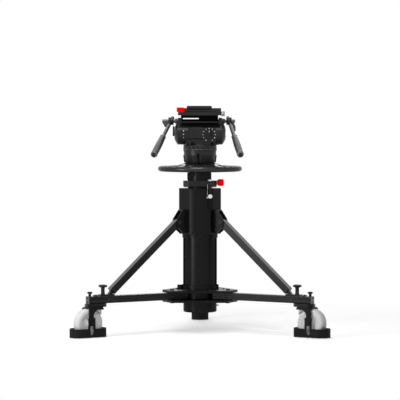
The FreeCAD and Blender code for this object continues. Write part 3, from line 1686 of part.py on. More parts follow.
def make_caster_fork(side, direction):
    body = new_body(f"fork_{side}")
    swivel_top = s.leg_bottom - s.mount_thickness - s.clearance
    plate_bottom = s.wheel_radius * 2 + s.wheel_headroom
    outer = s.blade_gap / 2 + s.blade_thickness
    crown = rounded_rectangle(
        s.swivel_plate_length / 2, outer, s.swivel_plate_corner, s.swivel_plate_shift
    )
    pad(body, "XY_Plane", [crown], swivel_top - plate_bottom, plate_bottom)
    inner_edge = s.caster_trail - s.blade_width / 2
    outer_edge = s.caster_trail + s.blade_width / 2
    flange = plate_bottom - s.blade_flange
    blade = [
        (inner_edge, s.wheel_radius - s.blade_end_radius),
        (outer_edge, s.wheel_radius - s.blade_end_radius),
        (outer_edge, plate_bottom),
        (-s.blade_reach, plate_bottom),
        (-s.blade_reach, flange),
        (inner_edge, flange),
    ]
    pad(body, "XZ_Plane", [blade], outer * 2, midplane=True)
    curve_x, curve_z = float(inner_edge), float(flange)
    soften(
        body,
        "Fillet",
        s.blade_curve,
        lambda e: all(
            abs(v.Point.x - curve_x) < SAME_PLACE and abs(v.Point.z - curve_z) < SAME_PLACE
            for v in e.Vertexes
        ),
    )
    room = rectangle(
        -s.swivel_plate_length, s.swivel_plate_length * 2, s.axle_radius, plate_bottom
    )
    pocket(body, "XZ_Plane", [room], s.blade_gap, midplane=True)
    axle_place = (s.caster_trail, s.wheel_radius)
    nut_face = guard_half_width() + s.clearance
    pad(body, "XZ_Plane", [(axle_place, s.axle_radius)], nut_face * 2, midplane=True)
    for side_offset, inward in ((nut_face, False), (-nut_face, True)):
        nut = [(axle_place, s.axle_nut_radius)]
        pad(body, "XZ_Plane", nut, s.axle_nut_depth, side_offset, inward=inward)
    pad(body, "XY_Plane", [((0, 0), s.kingpin_radius)], s.kingpin_length + s.clearance, swivel_top)
    place_caster(body, direction)

    fender = new_body(f"fender_{side}")
    start = s.caster_trail - s.fender_start
    block = rectangle(start, start + s.fender_length, s.wheel_radius, plate_bottom)
    pad(fender, "XZ_Plane", [block], s.wheel_width, midplane=True)
    clear = (axle_place, s.wheel_radius + s.fender_gap - s.clearance)
    pocket(fender, "XZ_Plane", [clear], s.wheel_width * 2, midplane=True)
    place_caster(fender, direction)
    group(f"caster_fork_{side}", [body, fender])


def make_cable_guard(side, direction):
    body = new_body(f"cable_guard_{side}")
    half_width = guard_half_width()
    half_length = s.guard_length / 2
    inner_radius = s.guard_corner - s.guard_wall
    outlines = [
        rounded_rectangle(half_length, half_width, s.guard_corner, s.caster_trail),
        rounded_rectangle(
            half_length - s.guard_wall, half_width - s.guard_wall, inner_radius, s.caster_trail
        ),
    ]
    pad(body, "XY_Plane", outlines, s.guard_top - s.guard_bottom, s.guard_bottom)
    half_ear = s.guard_ear_width / 2
    ear = rectangle(
        s.caster_trail - half_ear,
        s.caster_trail + half_ear,
        s.guard_top - s.overrun,
        s.guard_ear_top,
    )
    for offset, inward in ((half_width, True), (-half_width, False)):
        pad(body, "XZ_Plane", [ear], s.guard_wall, offset, inward=inward)
    radius = s.guard_slot_radius
    slot = (
        [(s.caster_trail, s.guard_slot_bottom), (s.caster_trail, s.wheel_radius)],
        radius,
    )
    pocket(body, "XZ_Plane", [slot], half_width * 4, midplane=True)
    node(place_caster(body, direction))


def make_caster_wheel(side, direction):
    hub = s.blade_gap / 2 - s.clearance
    half = s.wheel_width / 2
    bore = s.axle_radius + s.running_fit
    recess = half - s.wheel_face_recess
    profile = [
        (bore, -hub),
        (s.wheel_boss_radius, -hub),
        (s.wheel_boss_radius, -recess),
        (s.wheel_face_radius, -recess),
        (s.wheel_face_radius, -half),
        (s.wheel_radius, -half),
        (s.wheel_radius, half),
        (s.wheel_face_radius, half),
        (s.wheel_face_radius, recess),
        (s.wheel_boss_radius, recess),
        (s.wheel_boss_radius, hub),
        (bore, hub),
    ]
    body = turned(f"caster_wheel_{side}", profile)
    soften(body, "Fillet", s.wheel_shoulder, lambda e: is_ring(e, s.wheel_radius))
    angle = math.radians(direction)
    place = float(s.caster_mount_radius + s.caster_trail)
    turn = about_z(direction).multiply(Rotation(Vector(1, 0, 0), 90))
    node(
        stand(body, place * math.cos(angle), place * math.sin(angle), s.wheel_radius, turn)
    )


def check_and_write():
    """Stops at any failed object or bad shape, and otherwise writes one file for each node."""
    doc.recompute()
    for piece in doc.Objects:
        if "Invalid" in piece.State or "Error" in piece.State:
            raise RuntimeError(f"{piece.Label} is {piece.State}")
    for piece in nodes:
        if piece.Shape.isNull() or not piece.Shape.isValid():
            raise RuntimeError(f"{piece.Label} has no valid shape")
    os.makedirs("parts", exist_ok=True)
    for piece in nodes:
        piece.Shape.exportStep(f"parts/{piece.Label}.step")
    print(len(nodes), "nodes")


def main():
    make_column_tube()
    make_column_housing()
    make_housing_ring()
    make_guide_bush()
    make_dolly_plate("lower_plate", s.leg_bottom - s.clearance - s.plate_thickness)
    make_dolly_plate("upper_plate", s.leg_top + s.clearance)
    make_clamp_ring()
    make_pressure_housing()
    make_leg_bolts()
    make_strut_brackets()
    make_latch_keeper()
    make_lift_tube()
    make_top_collar()
    make_brake_knob()
    make_transport_latch()
    make_neck()
    make_steering_ring()
    make_bowl()
    make_head_base()
    make_pan_drag_ring()
    make_pan_block()
    make_pan_lock_lever()
    make_head_housing()
    make_tilt_axle()
    make_tilt_drag_ring()
    make_counterbalance_dial()
    make_tilt_lock_lever()
    make_tilt_yoke()
    make_platform()
    make_camera_plate()
    make_release_lever()
    make_balance_knob()
    make_rosettes()
    bars = (
        ("left", -1, s.left_grip_end, s.left_lever_end, s.left_lever_reach, s.left_lever_spread),
        ("right", 1, s.right_grip_end, s.right_lever_end, s.right_lever_reach, s.right_lever_spread),
    )
    for side, direction, grip_end, lever_end, reach, spread in bars:
        start, turn, length = make_pan_bar(side, direction, grip_end)
        make_grip(side, start, turn, length)
        make_bar_knob(side, direction, lever_end, reach, spread)
    for side, direction in LEG_DIRECTIONS.items():
        make_leg(side, direction)
        make_swivel_lock(side, direction)
        make_strut(side, direction)
        make_strut_knob(side, direction)
        make_caster_fork(side, direction)
        make_cable_guard(side, direction)
        make_caster_wheel(side, direction)
    check_and_write()


main()
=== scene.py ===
import json
import math

import bmesh
import bpy
import numpy as np
from bpy.props import FloatProperty, IntProperty, PointerProperty
from bpy.types import Operator, Panel, PropertyGroup
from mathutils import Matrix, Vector


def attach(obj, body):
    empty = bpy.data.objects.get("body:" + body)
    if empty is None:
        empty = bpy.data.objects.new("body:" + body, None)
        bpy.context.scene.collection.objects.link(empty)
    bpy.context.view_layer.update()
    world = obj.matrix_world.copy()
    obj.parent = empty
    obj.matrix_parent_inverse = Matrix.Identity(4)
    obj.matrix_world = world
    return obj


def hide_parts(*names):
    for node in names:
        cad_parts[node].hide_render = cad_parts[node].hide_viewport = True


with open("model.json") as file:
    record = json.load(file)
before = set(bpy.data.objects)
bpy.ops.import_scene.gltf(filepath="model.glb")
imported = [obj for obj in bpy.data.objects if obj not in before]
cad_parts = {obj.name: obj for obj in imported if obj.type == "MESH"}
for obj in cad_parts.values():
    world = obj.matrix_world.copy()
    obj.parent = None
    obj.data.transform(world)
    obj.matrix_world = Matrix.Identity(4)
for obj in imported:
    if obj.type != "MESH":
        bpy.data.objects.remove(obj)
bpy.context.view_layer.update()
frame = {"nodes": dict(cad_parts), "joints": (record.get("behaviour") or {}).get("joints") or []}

bl_info = {
    "name": "Camera pedestal dressing",
    "version": (1, 0, 0),
    "blender": (4, 5, 0),
    "location": "3D View > Sidebar > Pedestal",
    "description": "Finishes, fittings and studio for a packed camera pedestal",
    "category": "Object",
}

JOINTS = {joint["name"]: joint for joint in frame["joints"]}
SIDES = ("left", "right", "rear")
HANDS = {"left": -1, "right": 1}
RIGHT, BACK, UP = np.eye(3)
FRONT = -BACK

# Directions of the legs, in degrees seen from above
HEADINGS = {"left": 210, "right": 330, "rear": 90}

# Lower ends of the grips, in millimetres from the column's axis on the floor
GRIP_ENDS = {"left": (-197, -290, 783), "right": (173, -290, 783)}

# Height of the grain in the finishes, in metres
GRAIN_DEPTH = 0.00008
WHITE = (1, 1, 1, 1)


def pivot(name):
    """Where a joint turns at rest, in metres."""
    return np.array(JOINTS[name]["pos_m"], float)


def spindle(name):
    """The direction of a joint's axis."""
    return np.array(JOINTS[name]["axis"], float)


# Where the column's axis meets the floor
COLUMN = np.array([0, pivot("head_tilt")[1], 0])


# Surfaces: each is a grid of points worked out as whole arrays, and one mesh can hold several grids


def metres(points, seat=0):
    """Points typed in millimetres, with their second number counted from a seat."""
    return (np.array(points, float) + (0, seat)) / 1000


def basis(axis, side=(0, 0, 1)):
    """Two unit vectors square to an axis, and the axis itself, as the rows of a right-handed frame."""
    axis = np.array(axis, float) / np.linalg.norm(axis)
    side = np.array(side, float)
    if abs(side @ axis) > 0.9:
        side = np.array((1.0, 0.0, 0.0))
    first = side - (side @ axis) * axis
    first /= np.linalg.norm(first)
    return np.stack([first, np.cross(axis, first), axis])


def lathe(profile, place, axis, around=72, flats=None, lobes=0, lobe_depth=0.0, lobed=None, side=(0, 0, 1)):
    """A profile turned about an axis: the point at angle a and row i is place + r (cos a u + sin a v) + h
    axis, for the row's radius r and height h. Rows named in flats are drawn as hexagons, r cos(30) /
    cos(a mod 60 - 30), and rows named in lobed have r lowered by lobe_depth (1 - cos(lobes a)) / 2."""
    profile = np.array(profile, float)
    angle = np.linspace(0, 2 * np.pi, around, endpoint=False)
    radius = np.repeat(profile[:, :1], around, axis=1)
    if flats is not None:
        hexagon = math.cos(math.pi / 6) / np.cos(np.mod(angle, math.pi / 3) - math.pi / 6)
        radius[flats] *= hexagon
    if lobed is not None:
        radius[lobed] -= lobe_depth * (1 - np.cos(lobes * angle)) / 2
    first, second, along = basis(axis, side)
    flat = np.cos(angle)[:, None] * first + np.sin(angle)[:, None] * second
    return np.array(place, float) + radius[..., None] * flat[None] + profile[:, 1][:, None, None] * along


def smooth_rows(corners, rounds=4):
    """A profile with its corners rounded: each corner is replaced by points of a parabola between points
    a third of the way along its two sides."""
    corners = np.array(corners, float)
    share = np.linspace(0, 1, rounds)[:, None]
    rows = [corners[:1]]
    for before, here, after in zip(corners, corners[1:], corners[2:]):
        start = here + (before - here) / 3
        end = here + (after - here) / 3
        rows.append((1 - share) ** 2 * start + 2 * share * (1 - share) * here + share ** 2 * end)
    rows.append(corners[-1:])
    return np.concatenate(rows)


def build(name, grids, body, material, replaced=(), crease=35):
    """One mesh object from a list of grids whose second direction closes on itself: rows of quads between
    neighbouring points, with the poles merged, riding on a body."""
    points, faces, start = [], [], 0
    for grid in grids:
        rows, around = grid.shape[:2]
        index = start + np.arange(rows * around).reshape(rows, around)
        there = np.roll(index, -1, axis=1)
        quads = np.stack([index[:-1], there[:-1], there[1:], index[1:]], axis=-1)
        points.append(grid.reshape(-1, 3))
        faces.append(quads.reshape(-1, 4))
        start += rows * around
    points = np.concatenate(points)
    faces = np.concatenate(faces)
    mesh = bpy.data.meshes.new(name)
    mesh.from_pydata(points.tolist(), [], faces.tolist())
    work = bmesh.new()
    work.from_mesh(mesh)
    bmesh.ops.remove_doubles(work, verts=work.verts, dist=1e-6)
    bmesh.ops.recalc_face_normals(work, faces=work.faces)
    work.to_mesh(mesh)
    work.free()
    mesh.polygons.foreach_set("use_smooth", np.ones(len(mesh.polygons), bool))
    mesh.set_sharp_from_angle(angle=math.radians(crease))
    mesh.materials.append(material)
    piece = bpy.data.objects.new(name, mesh)
    bpy.context.scene.collection.objects.link(piece)
    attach(piece, body)
    if replaced:
        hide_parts(*replaced)
    return piece


def socket_screw(place, axis, radius, height):
    """A cap screw's head with a hexagon socket, standing on place: floor, wall and rim of the socket,
    then the chamfered outside down to the seat."""
    rows = [
        (0, height * 0.45),
        (radius * 0.52, height * 0.45),
        (radius * 0.52, height * 0.93),
        (radius * 0.60, height),
        (radius * 0.88, height),
        (radius, height * 0.86),
        (radius, 0),
        (0, 0),
    ]
    return lathe(rows, place, axis, around=36, flats=[1, 2])


def dome(place, axis, radius, height, around=20):
    """A shallow spherical button standing on place: r = radius cos t and h = height sin t for t from 0 to
    90."""
    turn = np.linspace(0, math.pi / 2, 5)
    rows = np.stack([radius * np.cos(turn), height * np.sin(turn)], axis=1)
    return lathe(np.concatenate([[(0, 0)], rows]), place, axis, around)


def rounded(corners, radius, steps=5):
    """A closed outline with round corners: each corner c becomes the parabola (1-t)^2 a + 2t(1-t) c + t^2
    b between points a and b on its two sides."""
    corners = np.array(corners, float)
    before = np.roll(corners, 1, axis=0) - corners
    after = np.roll(corners, -1, axis=0) - corners
    before_length = np.linalg.norm(before, axis=1, keepdims=True)
    after_length = np.linalg.norm(after, axis=1, keepdims=True)
    cut = np.minimum(radius, 0.48 * np.minimum(before_length, after_length))
    start = corners + before / before_length * cut
    end = corners + after / after_length * cut
    t = np.linspace(0, 1, steps)[:, None, None]
    points = (1 - t) ** 2 * start + 2 * t * (1 - t) * corners + t ** 2 * end
    return points.transpose(1, 0, 2).reshape(-1, 2)


def slab(outline, low, high, edge, place, first, second):
    """An outline, anticlockwise in the plane of two unit vectors, raised from low to high along their
    normal with rolled edges: the row at angle t is the outline moved inwards by edge (1 - sin t) at
    height edge (1 - cos t) from either end."""
    outline = np.array(outline, float)
    along = np.roll(outline, -1, axis=0) - np.roll(outline, 1, axis=0)
    along /= np.linalg.norm(along, axis=1, keepdims=True)
    inward = np.stack([-along[:, 1], along[:, 0]], axis=1)
    turn = np.linspace(0, math.pi / 2, 4)
    inset = edge * (1 - np.sin(turn))
    rise = edge * (1 - np.cos(turn))
    centre = outline.mean(axis=0)
    rows = [np.repeat(centre[None], len(outline), axis=0)]
    rows += [outline + inward * step for step in inset]
    rows += [outline + inward * step for step in inset[::-1]]
    rows.append(rows[0])
    heights = np.concatenate([[low], low + rise, (high - rise)[::-1], [high]])
    rows = np.stack(rows)
    first, second = np.array(first, float), np.array(second, float)
    normal = np.cross(first, second)
    flat = rows[..., :1] * first + rows[..., 1:] * second
    return np.array(place, float) + flat + heights[:, None, None] * normal


def plate(corners, corner, low, high, edge, place, first, second, steps=5):
    """A slab between two heights with round corners, all in millimetres from its place."""
    outline = rounded(metres(corners), corner / 1000, steps)
    return slab(outline, low / 1000, high / 1000, edge / 1000, place, first, second)


def ball(place, radius, around=12, rows=7):
    """A small sphere: r = radius sin t and h = -radius cos t."""
    turn = np.linspace(0, math.pi, rows)
    return lathe(np.stack([radius * np.sin(turn), -radius * np.cos(turn)], axis=1), place, UP, around)


def column_point(x, y, z):
    """A place given in millimetres from the column's axis on the floor."""
    return COLUMN + np.array((x, y, z)) / 1000


def heading(side):
    """The unit vector along a leg."""
    angle = math.radians(HEADINGS[side])
    return np.array((math.cos(angle), math.sin(angle), 0))


def leg_point(side, out, aside, z):
    """A place in millimetres along a leg, to its left and above the floor."""
    ahead = heading(side)
    left = np.array((-ahead[1], ahead[0], 0))
    return COLUMN + (out * ahead + aside * left + np.array((0, 0, z))) / 1000


# Finishes


def feed(tree, node, values=(), sources=()):
    """Give a node's inputs their values, and links from pairs of another node and its output."""
    for name, value in dict(values).items():
        node.inputs[name].default_value = value
    for name, (source, output) in dict(sources).items():
        tree.links.new(source.outputs[output], node.inputs[name])


def add_node(tree, kind, values=(), sources=(), **settings):
    """A new shader node with its settings, and with its inputs fed."""
    node = tree.nodes.new("ShaderNode" + kind)
    for name, setting in settings.items():
        setattr(node, name, setting)
    feed(tree, node, values, sources)
    return node


def finish(name, dark, light, patch, rough, grain, grain_size, metallic=0.0, gloss=(0.5, 0.5),
           turn=(0.1, 0.6), stretch=(1, 1, 1), painted_glow=0.0):
    """A procedural finish on Object coordinates: patchy colour between two tones, roughness that wanders
    with it, gloss that goes from its first to its second value as the surface turns edge-on, between the
    two shares of turn, and a bump of fine grain that stretch draws out along one axis. A tone is a colour,
    or one number for a grey. A glow is painted light: an emission in the light tone that makes a part glow,
    though it is no lamp."""
    material = bpy.data.materials.new(name)
    if material.name != name:
        raise ValueError(f"a finish named {name} is there already")
    material.use_nodes = True
    tree = material.node_tree
    place = add_node(tree, "TexCoord")
    mapping = add_node(tree, "Mapping", {"Scale": stretch}, {"Vector": (place, "Object")})
    clouds = add_node(tree, "TexNoise", {"Scale": patch, "Detail": 5}, {"Vector": (place, "Object")})
    tones = add_node(tree, "ValToRGB", {}, {"Fac": (clouds, "Fac")})
    for element, share, tone in zip(tones.color_ramp.elements, (0.35, 0.65), (dark, light)):
        element.position = share
        element.color = (*np.broadcast_to(tone, 3), 1)
    values = {"To Min": rough[0], "To Max": rough[1]}
    polish = add_node(tree, "MapRange", values, {"Value": (clouds, "Fac")})
    values = {"Scale": grain_size, "Detail": 3}
    speckle = add_node(tree, "TexNoise", values, {"Vector": (mapping, "Vector")})
    values = {"Strength": grain, "Distance": GRAIN_DEPTH}
    bump = add_node(tree, "Bump", values, {"Height": (speckle, "Fac")})
    shader = tree.nodes["Principled BSDF"]
    # The emission strength is painted light: a glow on a finish that is no lamp
    values = {"Metallic": metallic, "Specular IOR Level": gloss[0], "Emission Strength": painted_glow,
              "Emission Color": (*np.broadcast_to(light, 3), 1)}
    feed(tree, shader, values, {"Base Color": (tones, "Color"), "Roughness": (polish, "Result"),
                                "Normal": (bump, "Normal")})
    if gloss[0] != gloss[1]:
        facing = add_node(tree, "LayerWeight")
        values = {"From Min": turn[0], "From Max": turn[1], "To Min": gloss[0], "To Max": gloss[1]}
        sheen = add_node(tree, "MapRange", values, {"Value": (facing, "Facing")})
        feed(tree, shader, {}, {"Specular IOR Level": (sheen, "Result")})
    return material


def make_finishes(settings):
    """The finishes by name. The blacks are multiples of one black, and the wheels' tones of one pale."""
    black, pale = settings.black, settings.pale
    along_z, along_x = (1, 1, 0.05), (0.05, 1, 1)
    lit_edge = (0.6, 0.95)
    looks = {
        "casting_paint": dict(dark=black * 2.2, light=black * 4.0, patch=9, rough=(0.26, 0.36),
                              grain=0.3, grain_size=900, gloss=(0.28, 0.16)),
        "sheet_paint": dict(dark=black * 2.0, light=black * 3.6, patch=6, rough=(0.28, 0.38),
                            grain=0.25, grain_size=700, gloss=(0.07, 0.12)),
        "beam_paint": dict(dark=black * 1.8, light=black * 3.2, patch=8, rough=(0.24, 0.32),
                           grain=0.08, grain_size=900, gloss=(0.11, 1.0)),
        "tube_anodise": dict(dark=black * 0.5, light=black * 1.1, patch=7, rough=(0.24, 0.32),
                             grain=0.22, grain_size=1400, gloss=(0.14, 0.0), stretch=along_z),
        "housing_anodise": dict(dark=black, light=black * 2.0, patch=7, rough=(0.26, 0.34),
                                grain=0.22, grain_size=1400, gloss=(0.12, 0.02), stretch=along_z),
        "ring_paint": dict(dark=black, light=black * 2.0, patch=10, rough=(0.20, 0.28),
                           grain=0.3, grain_size=900, gloss=(0.48, 0.10)),
        "turned_anodise": dict(dark=black * 2.0, light=black * 4.0, patch=14, rough=(0.26, 0.36),
                               grain=0.3, grain_size=1500, gloss=(0.26, 0.1), stretch=along_x),
        "bar_anodise": dict(dark=0.12, light=0.20, patch=14, rough=(0.20, 0.30),
                            grain=0.2, grain_size=1500, metallic=0.6, gloss=(0.9, 0.0), turn=lit_edge),
        "lever_enamel": dict(dark=0.035, light=0.070, patch=22, rough=(0.24, 0.34),
                             grain=0.3, grain_size=1200, gloss=(0.7, 0.4)),
        # Painted shade: near-black and matt, for pieces that stand in for the shade under the platform, and
        # for dark joint lines and the bowl's dark strip
        "painted_shade_and_joint_black": dict(dark=0.0010, light=0.0018, patch=18, rough=(0.6, 0.8),
                             grain=0.3, grain_size=900, gloss=(0.02, 0.02)),
        "moulded_black": dict(dark=black * 2.2, light=black * 4.2, patch=18, rough=(0.30, 0.42),
                              grain=0.4, grain_size=1600, gloss=(0.2, 0.16)),
        "guard_plastic": dict(dark=black * 2.5, light=black * 4.5, patch=10, rough=(0.42, 0.54),
                              grain=0.4, grain_size=1200, gloss=(0.06, 0.03)),
        "sleeve_rubber": dict(dark=0.030, light=0.055, patch=26, rough=(0.22, 0.32),
                              grain=0.4, grain_size=1800, gloss=(1.0, 0.0), turn=lit_edge),
        # Painted light: the red glows so that the knob and lever still render full red in the shade they
        # stand in
        "signal_red": dict(dark=(0.95, 0.0, 0.0), light=(1.0, 0.0, 0.0), patch=20, rough=(0.4, 0.5),
                           grain=0.2, grain_size=1200, gloss=(0.0, 0.0), painted_glow=0.45),
        "pale_tread": dict(dark=pale * 0.95, light=pale * 1.03, patch=12, rough=(0.5, 0.65),
                           grain=0.25, grain_size=900, gloss=(0.3, 0.3)),
        "pale_shell": dict(dark=pale * 0.9, light=pale, patch=15, rough=(0.45, 0.6),
                           grain=0.25, grain_size=1100, gloss=(0.35, 0.35)),
        "dull_steel": dict(dark=0.06, light=0.10, patch=30, rough=(0.32, 0.45),
                           grain=0.3, grain_size=1500, metallic=0.9),
        "polished_steel": dict(dark=0.62, light=0.78, patch=40, rough=(0.16, 0.28),
                               grain=0.1, grain_size=900, metallic=1.0),
        "knurled_steel": dict(dark=0.30, light=0.42, patch=40, rough=(0.25, 0.35),
                              grain=0.2, grain_size=900, metallic=0.9),
        "screw_steel": dict(dark=0.022, light=0.045, patch=40, rough=(0.30, 0.40),
                            grain=0.2, grain_size=1500, metallic=0.7, gloss=(0.2, 0.2)),
        "mark_paint": dict(dark=0.9, light=1.0, patch=60, rough=(0.5, 0.6),
                           grain=0.1, grain_size=900, gloss=(0.2, 0.2)),
        "tick_paint": dict(dark=0.34, light=0.46, patch=60, rough=(0.5, 0.6),
                           grain=0.1, grain_size=900, gloss=(0.2, 0.2)),
    }
    return {name: finish(name, **look) for name, look in looks.items()}


def each(*stems):
    """The names of the pieces that every leg has."""
    return tuple(f"{stem}_{side}" for stem in stems for side in SIDES)


NODE_FINISHES = {
    "tube_anodise": ("column_tube", "lift_tube", "neck", "clamp_ring"),
    "housing_anodise": ("column_housing", "housing_ring", "pressure_housing"),
    "casting_paint": ("bowl", "head_base", "pan_block", "head_housing", "tilt_yoke", "platform"),
    "ring_paint": ("steering_ring",),
    "sheet_paint": ("lower_plate", "upper_plate", "strut_brackets", *each("caster_fork")),
    "beam_paint": each("strut", "leg"),
    "turned_anodise": ("pan_drag_ring", "tilt_drag_ring", "camera_plate", "top_collar"),
    "moulded_black": ("guide_bush", "latch_keeper", "pan_lock_lever", "counterbalance_dial", "leg_bolts",
                      "tilt_lock_lever", "balance_knob", "bar_knob_left", "bar_knob_right",
                      "transport_latch", "pan_bar_left", "pan_bar_right",
                      *each("strut_knob", "swivel_lock")),
    "guard_plastic": each("cable_guard"),
    "sleeve_rubber": ("grip_left", "grip_right"),
    "signal_red": ("brake_knob", "release_lever"),
    "pale_tread": each("caster_wheel"),
    "dull_steel": ("tilt_axle", "rosettes"),
}


def made(name):
    """A finish that the finishes operator has made."""
    return bpy.data.materials[name]


# Sizes and colours that can be changed in the sidebar


def number(name, description, default, unit="NONE"):
    """A number for the sidebar."""
    return FloatProperty(name=name, description=description, default=default, unit=unit)


def size(name, description, default):
    """A length in metres for the sidebar."""
    return number(name, description, default, "LENGTH")


class FinishSettings(PropertyGroup):
    black: FloatProperty(
        name="Black", description="Brightness of the black paint", default=0.004, min=0.0, max=0.2)
    pale: FloatProperty(
        name="Pale", description="Brightness of the wheels", default=0.86, min=0.0, max=1.0)


class WheelSettings(PropertyGroup):
    radius: size("Radius", "Radius of a caster wheel", 0.0625)
    width: size("Width", "Width of the tread", 0.048)
    shoulder: size("Shoulder", "Radius of the tread's shoulders", 0.013)
    hub: size("Hub width", "Width over the hub", 0.0588)
    bore: size("Bore", "Radius of the axle's bore", 0.00605)


class FenderSettings(PropertyGroup):
    inner: size("Inner radius", "From the axle to the inside", 0.0638)
    front: size("Front", "From the axle to the upright face", 0.0530)
    top: size("Top", "From the axle to the level face", 0.0641)
    half_width: size("Half width", "Half the width", 0.0258)
    corner: size("Corner", "Radius of the outer corners", 0.004)
    start: number("Start", "Lower end, in degrees above the level", 34.0)
    end: number("End", "Upper end, in degrees above the level", 75.5)


class GripSettings(PropertyGroup):
    length: size("Length", "Length of a grip", 0.175)
    radius: size("Radius", "Largest radius of a grip", 0.015)
    neck: size("Neck", "Radius at the upper end", 0.0125)
    bar: size("Bar", "Radius of the pan bar", 0.008)
    socket: size("Socket", "Radius of the hollow in the end", 0.009)
    tube_start: size("Tube", "From the hinge to the bright tube", 0.045)


class KnobSettings(PropertyGroup):
    strut_radius: size("Strut knob", "Radius of a strut knob", 0.0195)
    strut_lobes: IntProperty(name="Strut lobes", description="Lobes round a strut knob", default=7)
    lock_radius: size("Swivel lock", "Radius of a swivel lock", 0.011)
    brake_radius: size("Brake knob", "Radius of the brake knob", 0.0155)
    balance_radius: size("Balance knob", "Radius of the balance knob", 0.011)
    edge: size("Edge", "Radius of the levers' rolled edges", 0.0016)


class ScrewSettings(PropertyGroup):
    small: size("Small head", "Radius of a small screw head", 0.0028)
    large: size("Large head", "Radius of a large screw head", 0.0042)
    proud: size("Proud", "Height of a small head", 0.0014)


class MarkSettings(PropertyGroup):
    dial_ring: size("Dial ring", "Radius of the ring of dots", 0.0278)
    dial_dots: IntProperty(name="Dots", description="Dots round the dial", default=12)
    dot: size("Dot", "Radius of a dot", 0.0021)
    ticks: IntProperty(name="Ticks", description="Ticks round the pan drag ring", default=48)
    tilt_radius: size("Tilt ring", "Outer radius of the tilt drag ring", 0.0505)


class LatchSettings(PropertyGroup):
    bead: size("Bead", "Radius of a bead of the chain", 0.0011)
    beads: IntProperty(name="Beads", description="Beads on the chain", default=25)


class StudioSettings(PropertyGroup):
    distance: size("Distance", "Camera to column, level", 9.24)
    height: size("Height", "Height of the camera", 0.953)
    dip: number("Dip", "How far the camera looks down, in degrees", 2.318)
    lens: number("Lens", "Focal length in millimetres", 189.0)
    aim: size("Aim", "Height that the softboxes face", 0.55)
    top: number("Top light", "Power of the overhead softbox", 22.0)
    strip: number("Side light", "Power of the tall light on the left", 38.0)
    front: number("Front light", "Power of the light above the camera", 24.0)
    back: number("Back light", "Power of the light behind the pedestal", 30.0)
    ambient: number("Ambient", "Light from all round", 0.12)


# Operators: one for each group of pieces


class PEDESTAL_OT_finishes(Operator):
    """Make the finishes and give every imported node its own"""
    bl_idname = "pedestal.finishes"
    bl_label = "Finish the nodes"

    def execute(self, context):
        finishes = make_finishes(context.scene.pedestal_finish)
        given = {node: name for name, members in NODE_FINISHES.items() for node in members}
        for node, piece in frame["nodes"].items():
            piece.data.materials.clear()
            piece.data.materials.append(finishes[given[node]])
        return {"FINISHED"}


class PEDESTAL_OT_wheels(Operator):
    """Cast caster wheels: a crowned tread, soft shoulders, a dished side and a hub"""
    bl_idname = "pedestal.wheels"
    bl_label = "Wheels"

    def execute(self, context):
        sizes = context.scene.pedestal_wheel
        half, half_hub = sizes.width / 2, sizes.hub / 2
        straight = half - sizes.shoulder
        boss, boss_edge, boss_foot = 0.0115, 0.0125, 0.0130
        dish_start, dish_end, dish_depth = 0.0175, 0.0365, 0.0022
        lip_start, lip_end, lip_drop = 0.0395, 0.0425, 0.0006
        side = [
            (sizes.bore, half_hub),
            (boss, half_hub),
            (boss_edge, half_hub - (boss_edge - boss)),
            (boss_foot, half + (boss_foot - boss_edge)),
            (dish_start, half - dish_depth),
            (dish_end, half - dish_depth),
            (lip_start, half - lip_drop),
            (lip_end, half),
        ]
        rim = [
            (sizes.radius + sizes.shoulder * (math.sin(t) - 1), straight + sizes.shoulder * math.cos(t))
            for t in np.linspace(0, math.pi / 2, 9)
        ]
        crown = [(sizes.radius, share * straight) for share in (0.5, 0, -0.5)]
        upper = side + rim
        lower = [(r, -h) for r, h in reversed(upper)]
        rows = upper + crown + lower + [upper[0]]
        for name in SIDES:
            joint = f"wheel_spin_{name}"
            grid = lathe(rows, pivot(joint), spindle(joint), around=96)
            build(f"wheel_{name}", [grid], f"wheel_{name}", made("pale_tread"),
                  [f"caster_wheel_{name}"])
        return {"FINISHED"}


class PEDESTAL_OT_fenders(Operator):
    """Pale shells over the inner side of each wheel, under the fork's crown"""
    bl_idname = "pedestal.fenders"
    bl_label = "Fenders"

    def execute(self, context):
        sizes = context.scene.pedestal_fender
        angle = np.radians(np.linspace(sizes.start, sizes.end, 18))
        outer = np.minimum(sizes.front / np.cos(angle), sizes.top / np.sin(angle))
        inner, wide = sizes.inner, sizes.half_width
        sections = np.stack([
            rounded([(inner, -wide), (reach, -wide), (reach, wide), (inner, wide)],
                    min(sizes.corner, (reach - inner) / 2))
            for reach in outer
        ])
        for name in SIDES:
            inward = -heading(name)
            axle = np.cross(inward, UP)
            spoke = np.cos(angle)[:, None] * inward + np.sin(angle)[:, None] * UP
            grid = pivot(f"wheel_spin_{name}") + sections[..., :1] * spoke[:, None]
            grid = grid + sections[..., 1:] * axle
            ends = grid[[0, -1]].mean(axis=1, keepdims=True) + np.zeros_like(grid[[0, -1]])
            grid = np.concatenate([ends[:1], grid, ends[1:]])
            build(f"fender_{name}", [grid], f"caster_{name}", made("pale_shell"))
        return {"FINISHED"}


